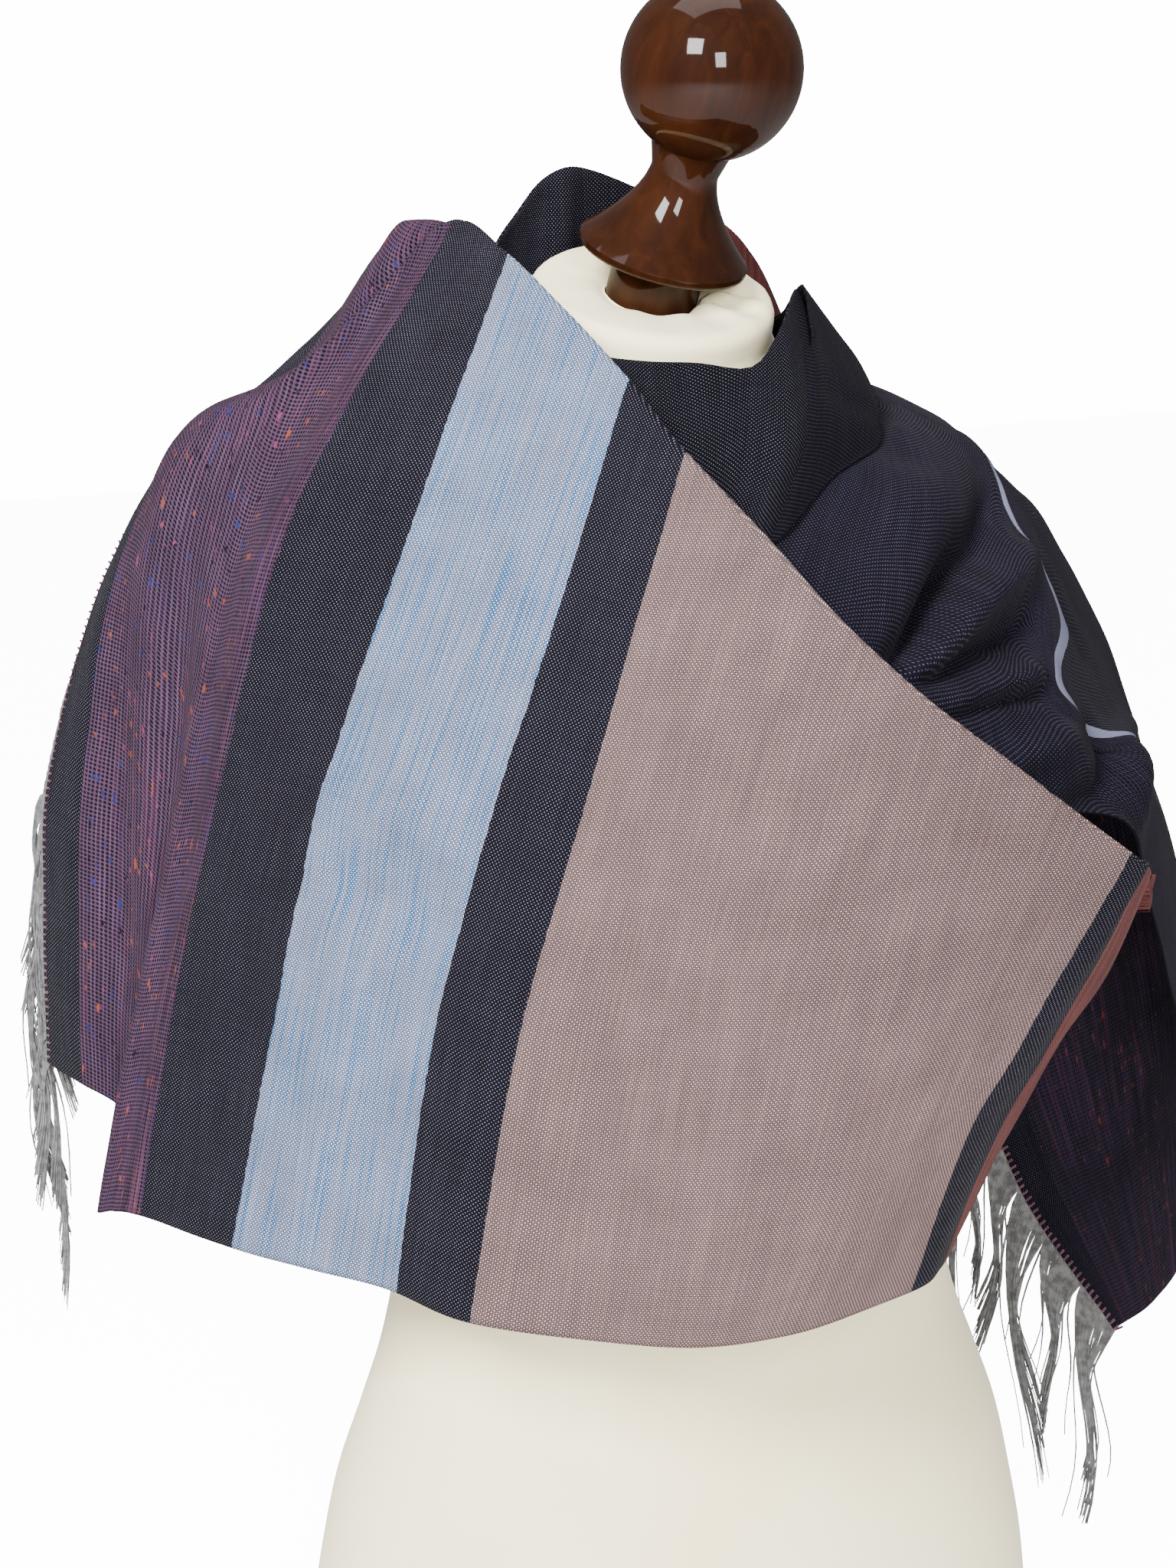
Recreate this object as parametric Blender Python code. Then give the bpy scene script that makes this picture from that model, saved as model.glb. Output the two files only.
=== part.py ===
# Handwoven striped shawl wound round a limbless dress form with a turned wooden finial.
# Metres, +Z up. The origin is the centre of the form's flat base, and the form faces -Y,
# so the wearer's left is +X. Sizes and tables are in millimetres.
import math

import bmesh
import bpy
from mathutils import Matrix, Vector
from mathutils.bvhtree import BVHTree

MM = 0.001

# Cloth
CLOTH_THICKNESS = 1.4
SEAM_GAP = 0.4              # between two stretches that meet on a line
LAYER_GAP = 0.8             # clear space kept between a layer and the one it lies on
FORM_GAP = 0.9              # clear space kept between the cloth and the form
SETTLE_REACH = 30           # how far off a layer still takes its place from the one below

# Dress form: torso sections
TORSO_SECTIONS = (
    # height, half width, half depth, centre y
    (0, 184, 124, 2),
    (45, 180, 121, 2),
    (80, 174, 116, 2),
    (115, 166, 110, 1),
    (148, 154, 102, 0),
    (182, 142, 95, 0),
    (225, 134, 91, -2),
    (270, 135, 93, -5),
    (330, 142, 103, -9),
    (390, 149, 112, -11),
    (440, 154, 110, -9),
    (490, 160, 101, -3),
    (535, 164, 88, 4),
    (565, 160, 74, 9),
    (585, 138, 61, 11),
    (598, 108, 55, 11),
    (609, 84, 53, 9),
    (620, 65, 52, 6),
)
FORM_SEGMENTS = 32
NECK_RADIUS = 55
NECK_LEAN_DEG = 20          # the neck's flat top leans forward
NECK_TOP_CENTRE = (0, 0, 662)
NECK_WALL = 16              # height of the straight wall under the neck's top
NECK_EDGE_ROUND = 7
PLUG_RADIUS = 20.5
PLUG_DEPTH = 26
PLUG_SHOWN = 15             # length of plug standing out of the neck
PLUG_CLEARANCE = 0.4
SOCKET_DIMPLE = 8           # the cover sinks this far round the socket

# Finial, turned about its own axis
FINIAL_SEGMENTS = 26
FINIAL_SIDE_LEAN_DEG = 8    # set a little askew in the neck, towards the wearer's left
BELL_RADIUS = 38
BELL_RIM = 4                # height of the bell's upright rim
BELL_STEPS = 6
WAIST_RADIUS = 15
WAIST_HEIGHT = 41
BALL_RADIUS = 39.5
BALL_HEIGHT = 87            # ball's centre over the bell's base
BALL_STEPS = 12

# Cloth sections. Each row is one line across the cloth, from its lower selvedge up,
# and each column is a level on it: points x, y, z.
WRAP_SECTIONS = (
    # name            hem               waist             chest             shoulder          crest
    ("end",          (-262, 138, 298), (-260, 137, 370), (-254, 135, 440), (-222, 130, 530), (-180, 118, 596)),
    ("end stripe",   (-254, 106, 296), (-252, 105, 365), (-247, 104, 440), (-222, 104, 540), (-182, 98, 606)),
    ("flank",        (-240, 84, 288),  (-236, 83, 355),  (-230, 82, 440),  (-212, 84, 548),  (-178, 84, 612)),
    ("hollow",       (-238, 68, 270),  (-230, 66, 345),  (-218, 62, 434),  (-200, 64, 550),  (-164, 72, 620)),
    ("right ridge",  (-261, 55, 252),  (-243, 53, 335),  (-221, 47, 430),  (-190, 40, 550),  (-150, 60, 628)),
    ("purple",       (-257, 44, 254),  (-236, 40, 345),  (-213, 30, 445),  (-181, 22, 560),  (-120, 38, 655)),
    ("navy start",   (-248, 30, 255),  (-226, 26, 365),  (-202, 12, 467),  (-168, 4, 578),   (-92, 20, 684)),
    ("sky start",    (-222, -24, 255), (-199, -31, 359), (-176, -40, 462), (-126, -46, 595), (-78, -14, 675)),
    ("sky middle",   (-198, -62, 254), (-177, -68, 362), (-152, -77, 468), (-109, -78, 578), (-66, -50, 653)),
    ("navy2 start",  (-171, -97, 252), (-152, -101, 365), (-127, -111, 460), (-92, -113, 553), (-52, -84, 627)),
    ("rose start",   (-147, -124, 244), (-124, -129, 362), (-104, -138, 440), (-76, -139, 525), (-42, -121, 599)),
    ("rose first",   (-106, -154, 240), (-90, -158, 335), (-73, -162, 420), (-50, -160, 500), (-22, -148, 572)),
    ("rose middle",  (-64, -177, 238), (-47, -181, 325), (-32, -184, 395), (-9, -181, 465),  (16, -172, 524)),
    ("rose last",    (-24, -190, 243), (2, -192, 305),   (20, -193, 360),  (40, -190, 420),  (64, -180, 481)),
    ("fold",         (32, -187, 250),  (56, -189, 316),  (82, -188, 352),  (112, -183, 388), (146, -171, 421)),
    ("round",        (50, -170, 251),  (72, -174, 310),  (96, -175, 345),  (125, -171, 380), (157, -158, 414)),
    ("navy3 end",    (60, -143, 252),  (80, -150, 303),  (101, -153, 340), (130, -150, 369), (161, -137, 402)),
    ("rust middle",  (90, -101, 250),  (112, -108, 300), (131, -112, 336), (150, -112, 362), (173, -98, 392)),
    ("under arm",    (129, -46, 250),  (141, -48, 300),  (152, -50, 345),  (163, -49, 378),  (176, -42, 412)),
    ("side",         (151, 28, 250),   (159, 30, 303),   (166, 32, 350),   (173, 33, 395),   (178, 34, 440)),
)
# Where the cloth turns over on the shoulder, beyond the crest.
ROLL_SECTIONS = (
    # name            over              roll              tail
    ("end",          (-156, 106, 622), (-128, 98, 644),  (-100, 92, 648)),
    ("end stripe",   (-154, 90, 630),  (-120, 86, 664),  (-92, 90, 660)),
    ("flank",        (-148, 78, 636),  (-108, 72, 686),  (-84, 82, 676)),
    ("hollow",       (-145, 73, 638),  (-107, 67, 688),  (-83, 78, 681)),
    ("right ridge",  (-138, 68, 642),  (-106, 60, 690),  (-82, 72, 684)),
    ("purple",       (-118, 50, 662),  (-98, 54, 692),   (-78, 66, 684)),
    ("navy start",   (-90, 30, 690),   (-82, 40, 692),   (-72, 50, 680)),
    ("sky start",    (-75, -10, 678),  (-69, -5, 677),   (-63, -1, 668)),
)
TURN_OVER = (
    # inward, back down: the soft edge beyond the crest on every other row
    (3, -1.5),
    (6, 3),
    (6, 14),
)
TURN_SHARE = 0.24           # share of a wrap's rows that lie beyond its crest
WRAP_PIECES = (
    # name           first row      last row       columns
    ("right_drop",  "end",         "purple",      14),
    ("front_wrap",  "purple",      "navy3 end",   30),
    ("side_return", "navy3 end",   "side",        9),
)
WRAP_ROWS = 20
BACK_SECTIONS = (
    # name            hem               waist             chest             shoulder          top
    ("side",         (151, 29, 250),   (159, 31, 303),   (166, 33, 350),   (173, 34, 395),   (178, 35, 440)),
    ("blade side",   (143, 64, 249),   (152, 66, 315),   (158, 68, 385),   (160, 66, 450),   (150, 62, 510)),
    ("left blade",   (126, 96, 248),   (135, 98, 330),   (140, 98, 415),   (136, 84, 500),   (113, 66, 572)),
    ("rust",         (78, 134, 246),   (82, 127, 345),   (82, 115, 445),   (76, 82, 560),    (61, 46, 668)),
    ("centre left",  (32, 154, 245),   (34, 143, 348),   (34, 126, 455),   (32, 86, 576),    (30, 74, 700)),
    ("centre",       (-12, 160, 244),  (-10, 148, 350),  (-9, 130, 460),   (-9, 86, 580),    (-9, 82, 713)),
    ("centre right", (-62, 157, 244),  (-62, 146, 350),  (-58, 127, 460),  (-48, 84, 578),   (-37, 76, 690)),
    ("right blade",  (-130, 132, 246), (-128, 122, 350), (-122, 108, 455), (-104, 74, 564),  (-64, 56, 660)),
    ("right side",   (-180, 88, 250),  (-176, 82, 350),  (-168, 74, 445),  (-148, 54, 550),  (-84, 36, 642)),
    ("right flank",  (-208, 40, 252),  (-200, 38, 350),  (-186, 36, 450),  (-171, 30, 565),  (-98, 18, 641)),
    ("under panel",  (-210, -8, 256),  (-194, -10, 352), (-176, -12, 448), (-167, -9, 550), (-110, -6, 613)),
)
NECK_SECTIONS = (
    # name            low               middle            upper             top
    ("right side",   (-122, -8, 602),  (-95, 2, 615),    (-74, 10, 630),   (-58, 12, 646)),
    ("right front",  (-106, -60, 570), (-87, -45, 599),  (-68, -30, 622),  (-54, -18, 644)),
    ("front start",  (-84, -92, 550),  (-70, -74, 586),  (-57, -56, 615),  (-46, -40, 639)),
    ("front",        (-56, -108, 542), (-44, -98, 571),  (-34, -80, 604),  (-25, -52, 636)),
    ("front middle", (-38, -110, 545), (-26, -102, 569), (-16, -88, 602),  (-6, -60, 635)),
    ("front end",    (-24, -111, 552), (-10, -103, 574), (2, -91, 602),    (18, -66, 632)),
    ("turn",         (-8, -110, 564),  (4, -100, 584),   (18, -89, 606),   (37, -75, 629)),
)
COLLAR_SECTIONS = (
    # name            bottom            middle            upper             top
    ("turn",         (-6, -113, 563),  (7, -103, 584),   (21, -92, 606),   (41, -76, 631)),
    ("throat",       (7, -113, 574),   (22, -100, 593),  (37, -84, 612),   (49, -62, 638)),
    ("face",         (40, -93, 584),   (50, -82, 602),   (56, -66, 624),   (55, -44, 651)),
    ("corner",       (76, -70, 596),   (80, -58, 611),   (78, -42, 629),   (63, -22, 663)),
    ("shoulder",     (88, -30, 620),   (86, -22, 630),   (80, -10, 643),   (68, 4, 661)),
    ("back",         (92, 16, 621),    (87, 22, 633),    (79, 26, 648),    (68, 26, 662)),
    ("nape",         (87, 48, 622),    (84, 50, 634),    (76, 51, 648),    (66, 44, 662)),
)
DRAPE_SECTIONS = (
    # name          low               elbow            arm              shoulder         top              neck
    ("tucked edge", (-38, -134, 532), (-8, -121, 555),  (18, -102, 574), (44, -80, 592),  (60, -48, 608),  (70, -26, 615)),
    ("first",       (10, -150, 506),  (26, -140, 530), (42, -117, 556), (64, -92, 582),  (78, -54, 602),  (78, -20, 614)),
    ("second",      (52, -162, 472),  (58, -150, 505), (72, -124, 543), (88, -96, 574),  (98, -56, 596),  (84, -13, 613)),
    ("third",       (100, -156, 444), (94, -148, 478), (98, -126, 520), (112, -98, 558), (118, -52, 594), (86, -4, 613)),
    ("over edge",   (160, -138, 432), (146, -138, 456), (122, -128, 500), (130, -100, 546), (130, -48, 588), (87, 3, 607)),
    ("lavender",    (198, -106, 372), (180, -122, 445), (138, -128, 490), (146, -98, 538), (138, -44, 580), (87, 10, 606)),
    ("outer",       (246, -70, 262),  (230, -76, 380), (206, -74, 465), (178, -60, 534), (150, -30, 576), (87, 18, 607)),
    ("edge line",   (254, -52, 185),  (244, -50, 330), (222, -44, 440), (190, -32, 532), (150, -8, 582),  (87, 27, 613)),
    ("arm back",    (248, -34, 150),  (238, 8, 290),   (222, 14, 410),  (190, 16, 526),  (146, 22, 590),  (91, 42, 615)),
    ("end",         (236, -16, 130),  (208, 34, 196),  (190, 78, 300),  (170, 92, 430),  (138, 80, 550),  (97, 75, 610)),
)
SHEETS = (
    # name           sections          columns rows
    ("back_wrap",   BACK_SECTIONS,    25,     16),
    ("neck_wrap",   NECK_SECTIONS,    16,     7),
    ("left_drape",  DRAPE_SECTIONS,   30,     22),
    ("collar_fold", COLLAR_SECTIONS,  13,     7),
)
LIES_OVER = (
    # layer          layer below
    ("back_wrap",   "neck_wrap"),
    ("left_drape",  "back_wrap"),
    ("collar_fold", "back_wrap"),
    ("collar_fold", "left_drape"),
    ("right_drop",  "back_wrap"),
    ("front_wrap",  "back_wrap"),
    ("front_wrap",  "neck_wrap"),
    ("front_wrap",  "left_drape"),
)

# Largest folds: a soft ridge, or a trough where the height is negative.
FOLDS = {
    "left_drape": (
        # start              end                half width  height
        ((150, -64, 560),   (36, -150, 511),   9,          -9),
        ((150, -84, 540),   (60, -143, 520),   11,         8),
        ((146, -104, 516),  (58, -144, 504),   8,          -8),
        ((160, -110, 505),  (64, -146, 497),   7,          7),
        ((150, -112, 494),  (62, -150, 488),   7,          -6),
        ((205, -90, 462),   (122, -150, 440),  9,          9),
        ((190, -100, 478),  (100, -150, 462),  9,          -7),
    ),
    "right_drop": (
        ((-186, 98, 550),   (-140, 84, 640),   16,         -5),
        ((-224, 96, 500),   (-246, 94, 330),   18,         -5),
    ),
    "back_wrap": (
        ((-9, 78, 705),     (-4, 150, 470),    12,         -6),
        ((-60, 80, 640),    (-70, 160, 380),   18,         5),
        ((40, 80, 650),     (60, 150, 360),    18,         5),
    ),
    "front_wrap": (
        ((-60, -130, 560),  (-120, -160, 300), 26,         3),
        ((60, -190, 450),   (40, -200, 300),   22,         -4),
    ),
}

# Fringe: the warp's ends, gathered in small groups along each end of the cloth
STRAND_WIDTH = 3
STRIP_WIDTH = 3
FRINGE_LENGTH = 110
FRINGE_STEPS = (
    # outward, down: the way a strand runs in each step from its root
    (0.80, 0.60),
    (0.50, 0.86),
    (0.38, 0.92),
)
STRAND_TAPER = 0.85
FRINGES = (
    # name             cloth edge    inner row     share of edge  strands
    ("fringe_first",  "wrap end",   "end stripe", 0.70,          30),
    ("fringe_second", "drape end",  "arm back",   0.79,          30),
)

# Colours: base colour, roughness, metallic
JERSEY = ((0.79, 0.76, 0.68), 0.85, 0.0)
WOOD = ((0.085, 0.022, 0.010), 0.22, 0.0)
NAVY = ((0.032, 0.029, 0.052), 0.8, 0.0)
ROSE = ((0.38, 0.29, 0.30), 0.75, 0.0)
PURPLE = ((0.09, 0.06, 0.13), 0.8, 0.0)
RUST = ((0.16, 0.05, 0.045), 0.8, 0.0)
WARP_GREY = ((0.26, 0.26, 0.28), 0.85, 0.0)
CLOTH_FINISHES = {
    "right_drop": PURPLE,
    "front_wrap": ROSE,
    "side_return": RUST,
    "back_wrap": NAVY,
    "neck_wrap": NAVY,
    "left_drape": PURPLE,
    "collar_fold": NAVY,
}


def clear_scene():
    for thing in list(bpy.data.objects):
        bpy.data.objects.remove(thing, do_unlink=True)


def material(name, finish):
    colour, roughness, metallic = finish
    made = bpy.data.materials.new(name)
    made.use_nodes = True
    shader = made.node_tree.nodes["Principled BSDF"]
    shader.inputs["Base Color"].default_value = (*colour, 1.0)
    shader.inputs["Roughness"].default_value = roughness
    shader.inputs["Metallic"].default_value = metallic
    return made


def object_from(bm, name, finish, smooth_angle=50):
    """Object in metres from a mesh in millimetres."""
    bmesh.ops.scale(bm, vec=(MM, MM, MM), verts=bm.verts)
    mesh = bpy.data.meshes.new(name)
    bm.to_mesh(mesh)
    bm.free()
    mesh.materials.append(material(name, finish))
    mesh.shade_smooth()
    mesh.set_sharp_from_angle(angle=math.radians(smooth_angle))
    made = bpy.data.objects.new(name, mesh)
    bpy.context.collection.objects.link(made)
    return made


def along(points, place):
    """Point of the smooth curve through the points, at place 0 to 1."""
    spans = len(points) - 1
    at = min(max(place, 0.0), 1.0) * spans
    i = min(int(at), spans - 1)
    f = at - i
    a, b = points[i], points[i + 1]
    before = points[i - 1] if i > 0 else a * 2 - b
    after = points[i + 2] if i + 2 <= spans else b * 2 - a
    return (a * 2 + (b - before) * f + (before * 2 - a * 5 + b * 4 - after) * f * f
            + (a * 3 - before - b * 3 + after) * f ** 3) * 0.5


def section_lines(sections):
    return [[Vector(point) for point in row[1:]] for row in sections]


def wrap_lines(first, last):
    """Section lines of the outer wrap between two named rows, with their turned-over tops."""
    names = [row[0] for row in WRAP_SECTIONS]
    rolls = {row[0]: row[1:] for row in ROLL_SECTIONS}
    lines = section_lines(WRAP_SECTIONS[names.index(first):names.index(last) + 1])
    for name, line in zip(names[names.index(first):], lines):
        crest = line[-1]
        inward = Vector((-crest.x, -crest.y, 0)).normalized()
        back = (line[-2] - crest).normalized()
        turned = [crest + inward * step + back * down for step, down in TURN_OVER]
        line.extend(Vector(point) for point in rolls.get(name, turned))
    return lines


def wrap_height(share):
    """Place on a wrap's section line of a row at this share of the sheet's rows."""
    crest = (len(WRAP_SECTIONS[0]) - 2) / (len(WRAP_SECTIONS[0]) - 2 + len(TURN_OVER))
    flat = 1 - TURN_SHARE
    if share < flat:
        return crest * share / flat
    return crest + (1 - crest) * (share - flat) / TURN_SHARE


def fold_height(point, folds):
    """How far the folds lift a point."""
    lift = 0.0
    for start, end, half_width, height in folds:
        a, run = Vector(start), Vector(end) - Vector(start)
        place = min(max((point - a).dot(run) / run.length_squared, 0.0), 1.0)
        away = (point - a - run * place).length
        lift += height * math.exp(-(away / half_width) ** 2)
    return lift


def sheet_mesh(lines, columns, rows, folds, height_of=float):
    """Sheet over the section lines, with its folds, and its faces turned away from the form."""
    bm = bmesh.new()
    bmesh.ops.create_grid(bm, x_segments=columns, y_segments=rows, size=0.5)
    length = sum((b[1] - a[1]).length for a, b in zip(lines, lines[1:]))
    trim = SEAM_GAP / 2 / length
    for v in bm.verts:
        across = trim + (v.co.x + 0.5) * (1 - 2 * trim)
        up = height_of(v.co.y + 0.5)
        v.co = along([along(line, up) for line in lines], across)
    bm.normal_update()
    facing = sum(f.normal.x * f.calc_center_median().x + f.normal.y * f.calc_center_median().y for f in bm.faces)
    if facing < 0:
        bmesh.ops.reverse_faces(bm, faces=bm.faces)
        bm.normal_update()
    lifted = [v.co + v.normal * fold_height(v.co, folds) for v in bm.verts]
    for v, place in zip(bm.verts, lifted):
        v.co = place
    bm.normal_update()
    return bm


def settle(bm, below, clear):
    """Lifts the points of a layer off the one below, along that one's outward normals."""
    tree = BVHTree.FromBMesh(below)
    for v in bm.verts:
        spot, normal, _index, distance = tree.find_nearest(v.co)
        away = (v.co - spot).dot(normal)
        if distance < SETTLE_REACH and away < clear and distance - abs(away) < clear:
            v.co += normal * (clear - away)
    bm.normal_update()


def neck_turn():
    return Matrix.Rotation(math.radians(NECK_LEAN_DEG), 3, "X")


def finial_turn():
    return neck_turn() @ Matrix.Rotation(math.radians(FINIAL_SIDE_LEAN_DEG), 3, "Y")


def form_mesh():
    """Torso of smooth sections, closed below, with the leaning neck on top and the plug's socket in it."""
    top = Vector(NECK_TOP_CENTRE)
    angles = [2 * math.pi * s / FORM_SEGMENTS for s in range(FORM_SEGMENTS)]

    def round_ring(radius, drop, turn):
        return [top + turn @ Vector((radius * math.sin(a), -radius * math.cos(a), -drop)) for a in angles]

    rings = []
    for z, half_width, half_depth, centre_y in TORSO_SECTIONS:
        rings.append([Vector((half_width * math.sin(a), centre_y - half_depth * math.cos(a), z)) for a in angles])
    rings.append(round_ring(NECK_RADIUS, NECK_WALL, neck_turn()))
    for degrees in (0, 30, 60, 90):
        a = math.radians(degrees)
        radius = NECK_RADIUS - NECK_EDGE_ROUND * (1 - math.cos(a))
        rings.append(round_ring(radius, NECK_EDGE_ROUND * (1 - math.sin(a)), neck_turn()))
    socket = PLUG_RADIUS + PLUG_CLEARANCE
    rings.append(round_ring(socket + SOCKET_DIMPLE, 0.5, neck_turn()))
    rings.append(round_ring(socket, SOCKET_DIMPLE / 2, finial_turn()))
    rings.append(round_ring(socket, PLUG_DEPTH + PLUG_CLEARANCE, finial_turn()))

    bm = bmesh.new()
    loops = []
    for ring in rings:
        verts = [bm.verts.new(point) for point in ring]
        loops.append([bm.edges.new((a, b)) for a, b in zip(verts, verts[1:] + verts[:1])])
    for lower, upper in zip(loops, loops[1:]):
        bmesh.ops.bridge_loops(bm, edges=lower + upper)
    bmesh.ops.holes_fill(bm, edges=loops[0] + loops[-1], sides=FORM_SEGMENTS)
    bmesh.ops.recalc_face_normals(bm, faces=bm.faces)
    return bm


def finial_mesh():
    """Plug, bell, waist and ball, turned about the plug's axis."""
    profile = [(0, -PLUG_DEPTH), (PLUG_RADIUS - 1, -PLUG_DEPTH), (PLUG_RADIUS, 1 - PLUG_DEPTH),
               (PLUG_RADIUS, PLUG_SHOWN), (BELL_RADIUS - 3, PLUG_SHOWN), (BELL_RADIUS, PLUG_SHOWN + 1.5)]
    for k in range(BELL_STEPS + 1):
        rise = k / BELL_STEPS
        radius = WAIST_RADIUS + (BELL_RADIUS - WAIST_RADIUS) * (1 - rise) ** 1.7
        profile.append((radius, PLUG_SHOWN + BELL_RIM + (WAIST_HEIGHT - BELL_RIM) * rise))
    join = math.asin((WAIST_RADIUS + 3) / BALL_RADIUS)
    for k in range(BALL_STEPS):
        a = join + (math.pi - join) * k / BALL_STEPS
        profile.append((BALL_RADIUS * math.sin(a), PLUG_SHOWN + BALL_HEIGHT - BALL_RADIUS * math.cos(a)))
    profile.append((0, PLUG_SHOWN + BALL_HEIGHT + BALL_RADIUS))
    bm = bmesh.new()
    verts = [bm.verts.new((x, 0, z)) for x, z in profile]
    edges = [bm.edges.new(pair) for pair in zip(verts, verts[1:])]
    bmesh.ops.spin(bm, geom=verts + edges, cent=(0, 0, 0), axis=(0, 0, 1), angle=2 * math.pi,
                   steps=FINIAL_SEGMENTS, use_merge=True)
    bmesh.ops.remove_doubles(bm, verts=bm.verts, dist=0.01)
    bmesh.ops.recalc_face_normals(bm, faces=bm.faces)
    bmesh.ops.rotate(bm, verts=bm.verts, cent=(0, 0, 0), matrix=finial_turn())
    bmesh.ops.translate(bm, verts=bm.verts, vec=NECK_TOP_CENTRE)
    return bm


def place_along(line, length):
    """Place 0 to 1 on a line at this length from its start."""
    steps = 400
    points = [along(line, k / steps) for k in range(steps + 1)]
    run = 0.0
    for k, (a, b) in enumerate(zip(points, points[1:])):
        step = (b - a).length
        if run + step > length:
            return (k + (length - run) / step) / steps
        run += step
    return 1.0


def fringe_mesh(edge, inner, share, strands):
    """Narrow strip beside a cloth edge with its strands drawn out of it."""
    total = sum((along(edge, (k + 1) / 100) - along(edge, k / 100)).length for k in range(100)) * share
    pitch = (total - STRAND_WIDTH) / (strands - 1)
    stops = []
    for strand in range(strands):
        stops += [place_along(edge, strand * pitch), place_along(edge, strand * pitch + STRAND_WIDTH)]
    bm = bmesh.new()
    bmesh.ops.create_grid(bm, x_segments=len(stops) - 1, y_segments=1, size=0.5)
    outward = []
    for strand in range(strands):
        place = (stops[2 * strand] + stops[2 * strand + 1]) / 2
        way = (along(edge, place + 0.03) - along(edge, place - 0.03)).normalized()
        outward.append((along(edge, place) - along(inner, place)).cross(way).cross(way).normalized() * -1)
    for v in bm.verts:
        number = round((v.co.x + 0.5) * (len(stops) - 1))
        point = along(edge, stops[number])
        v.co = point + outward[number // 2] * (SEAM_GAP + (v.co.y + 0.5) * STRIP_WIDTH)
    bm.normal_update()
    bmesh.ops.solidify(bm, geom=bm.faces[:], thickness=CLOTH_THICKNESS)
    bmesh.ops.recalc_face_normals(bm, faces=bm.faces)
    tips = []
    for number, way in enumerate(outward):
        middle = (along(edge, stops[2 * number]) + along(edge, stops[2 * number + 1])) / 2
        middle += way * (SEAM_GAP + STRIP_WIDTH)
        face = min(bm.faces, key=lambda f: (f.calc_center_median() - middle).length)
        tips.append((face, way))
    for face, way in tips:
        for step, (out, down) in enumerate(FRINGE_STEPS):
            made = bmesh.ops.extrude_discrete_faces(bm, faces=[face])["faces"]
            face = made[0]
            run = (way * out + Vector((0, 0, -down))).normalized() * (FRINGE_LENGTH / len(FRINGE_STEPS))
            centre = face.calc_center_median()
            for v in face.verts:
                v.co = centre + (v.co - centre) * STRAND_TAPER + run
    bmesh.ops.recalc_face_normals(bm, faces=bm.faces)
    return bm


def build_cloth(form):
    """Every stretch of the shawl, settled on the form and on the layers below it."""
    sheets = {}
    for name, first, last, columns in WRAP_PIECES:
        sheets[name] = sheet_mesh(wrap_lines(first, last), columns, WRAP_ROWS, FOLDS.get(name, ()), wrap_height)
    for name, sections, columns, rows in SHEETS:
        sheets[name] = sheet_mesh(section_lines(sections), columns, rows, FOLDS.get(name, ()))
    for bm in sheets.values():
        settle(bm, form, FORM_GAP + CLOTH_THICKNESS / 2)
    for layer, below in LIES_OVER:
        settle(sheets[layer], sheets[below], LAYER_GAP + CLOTH_THICKNESS)
    for name, bm in sheets.items():
        cloth = object_from(bm, name, CLOTH_FINISHES[name])
        wall = cloth.modifiers.new("wall", "SOLIDIFY")
        wall.thickness = CLOTH_THICKNESS * MM
        wall.offset = 0


def build_fringes():
    drape = {row[0]: [Vector(point) for point in row[1:]] for row in DRAPE_SECTIONS}
    wrap = {row[0]: [Vector(point) for point in row[1:]] for row in WRAP_SECTIONS}
    edges = {"wrap end": (wrap, "end"), "drape end": (drape, "end")}
    for name, edge, inner, share, strands in FRINGES:
        lines, row = edges[edge]
        object_from(fringe_mesh(lines[row], lines[inner], share, strands), name, WARP_GREY)


def main():
    clear_scene()
    form = form_mesh()
    build_cloth(form)
    build_fringes()
    object_from(form, "form_body", JERSEY)
    object_from(finial_mesh(), "finial", WOOD)


main()
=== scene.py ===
# Handwoven striped shawl on a limbless dress form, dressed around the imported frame.
# Metres, +Z up; the form faces -Y, so the wearer's left is +X. Tables of places are in millimetres.
import math
import random

import bmesh
import bpy
import numpy as np
from mathutils import Matrix, Vector
from mathutils.bvhtree import BVHTree


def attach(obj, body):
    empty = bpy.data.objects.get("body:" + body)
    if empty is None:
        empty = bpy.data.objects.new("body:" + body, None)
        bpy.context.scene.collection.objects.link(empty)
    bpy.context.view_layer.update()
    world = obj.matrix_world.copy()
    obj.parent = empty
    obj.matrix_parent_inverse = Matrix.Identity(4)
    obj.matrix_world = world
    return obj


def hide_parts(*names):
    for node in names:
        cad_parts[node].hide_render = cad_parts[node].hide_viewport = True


mm = 0.001
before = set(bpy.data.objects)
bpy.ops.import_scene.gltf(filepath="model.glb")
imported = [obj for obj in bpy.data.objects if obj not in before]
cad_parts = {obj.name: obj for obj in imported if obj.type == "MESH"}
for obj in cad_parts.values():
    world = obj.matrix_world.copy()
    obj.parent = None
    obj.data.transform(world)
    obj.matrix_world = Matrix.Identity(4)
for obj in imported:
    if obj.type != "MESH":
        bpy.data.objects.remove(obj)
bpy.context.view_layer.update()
print("frame loaded:", sorted(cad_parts))


# places on smooth curves
def curvePoint(points, place):
    # point of the smooth curve through the points, at place 0 to 1
    spans = len(points) - 1
    at = min(max(place, 0.0), 1.0) * spans
    i = min(int(at), spans - 1)
    f = at - i
    a, b = points[i], points[i + 1]
    before = points[i - 1] if i > 0 else a * 2 - b
    after = points[i + 2] if i + 2 <= spans else b * 2 - a
    return (a * 2 + (b - before) * f + (before * 2 - a * 5 + b * 4 - after) * f * f
            + (a * 3 - before - b * 3 + after) * f ** 3) * 0.5


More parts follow.
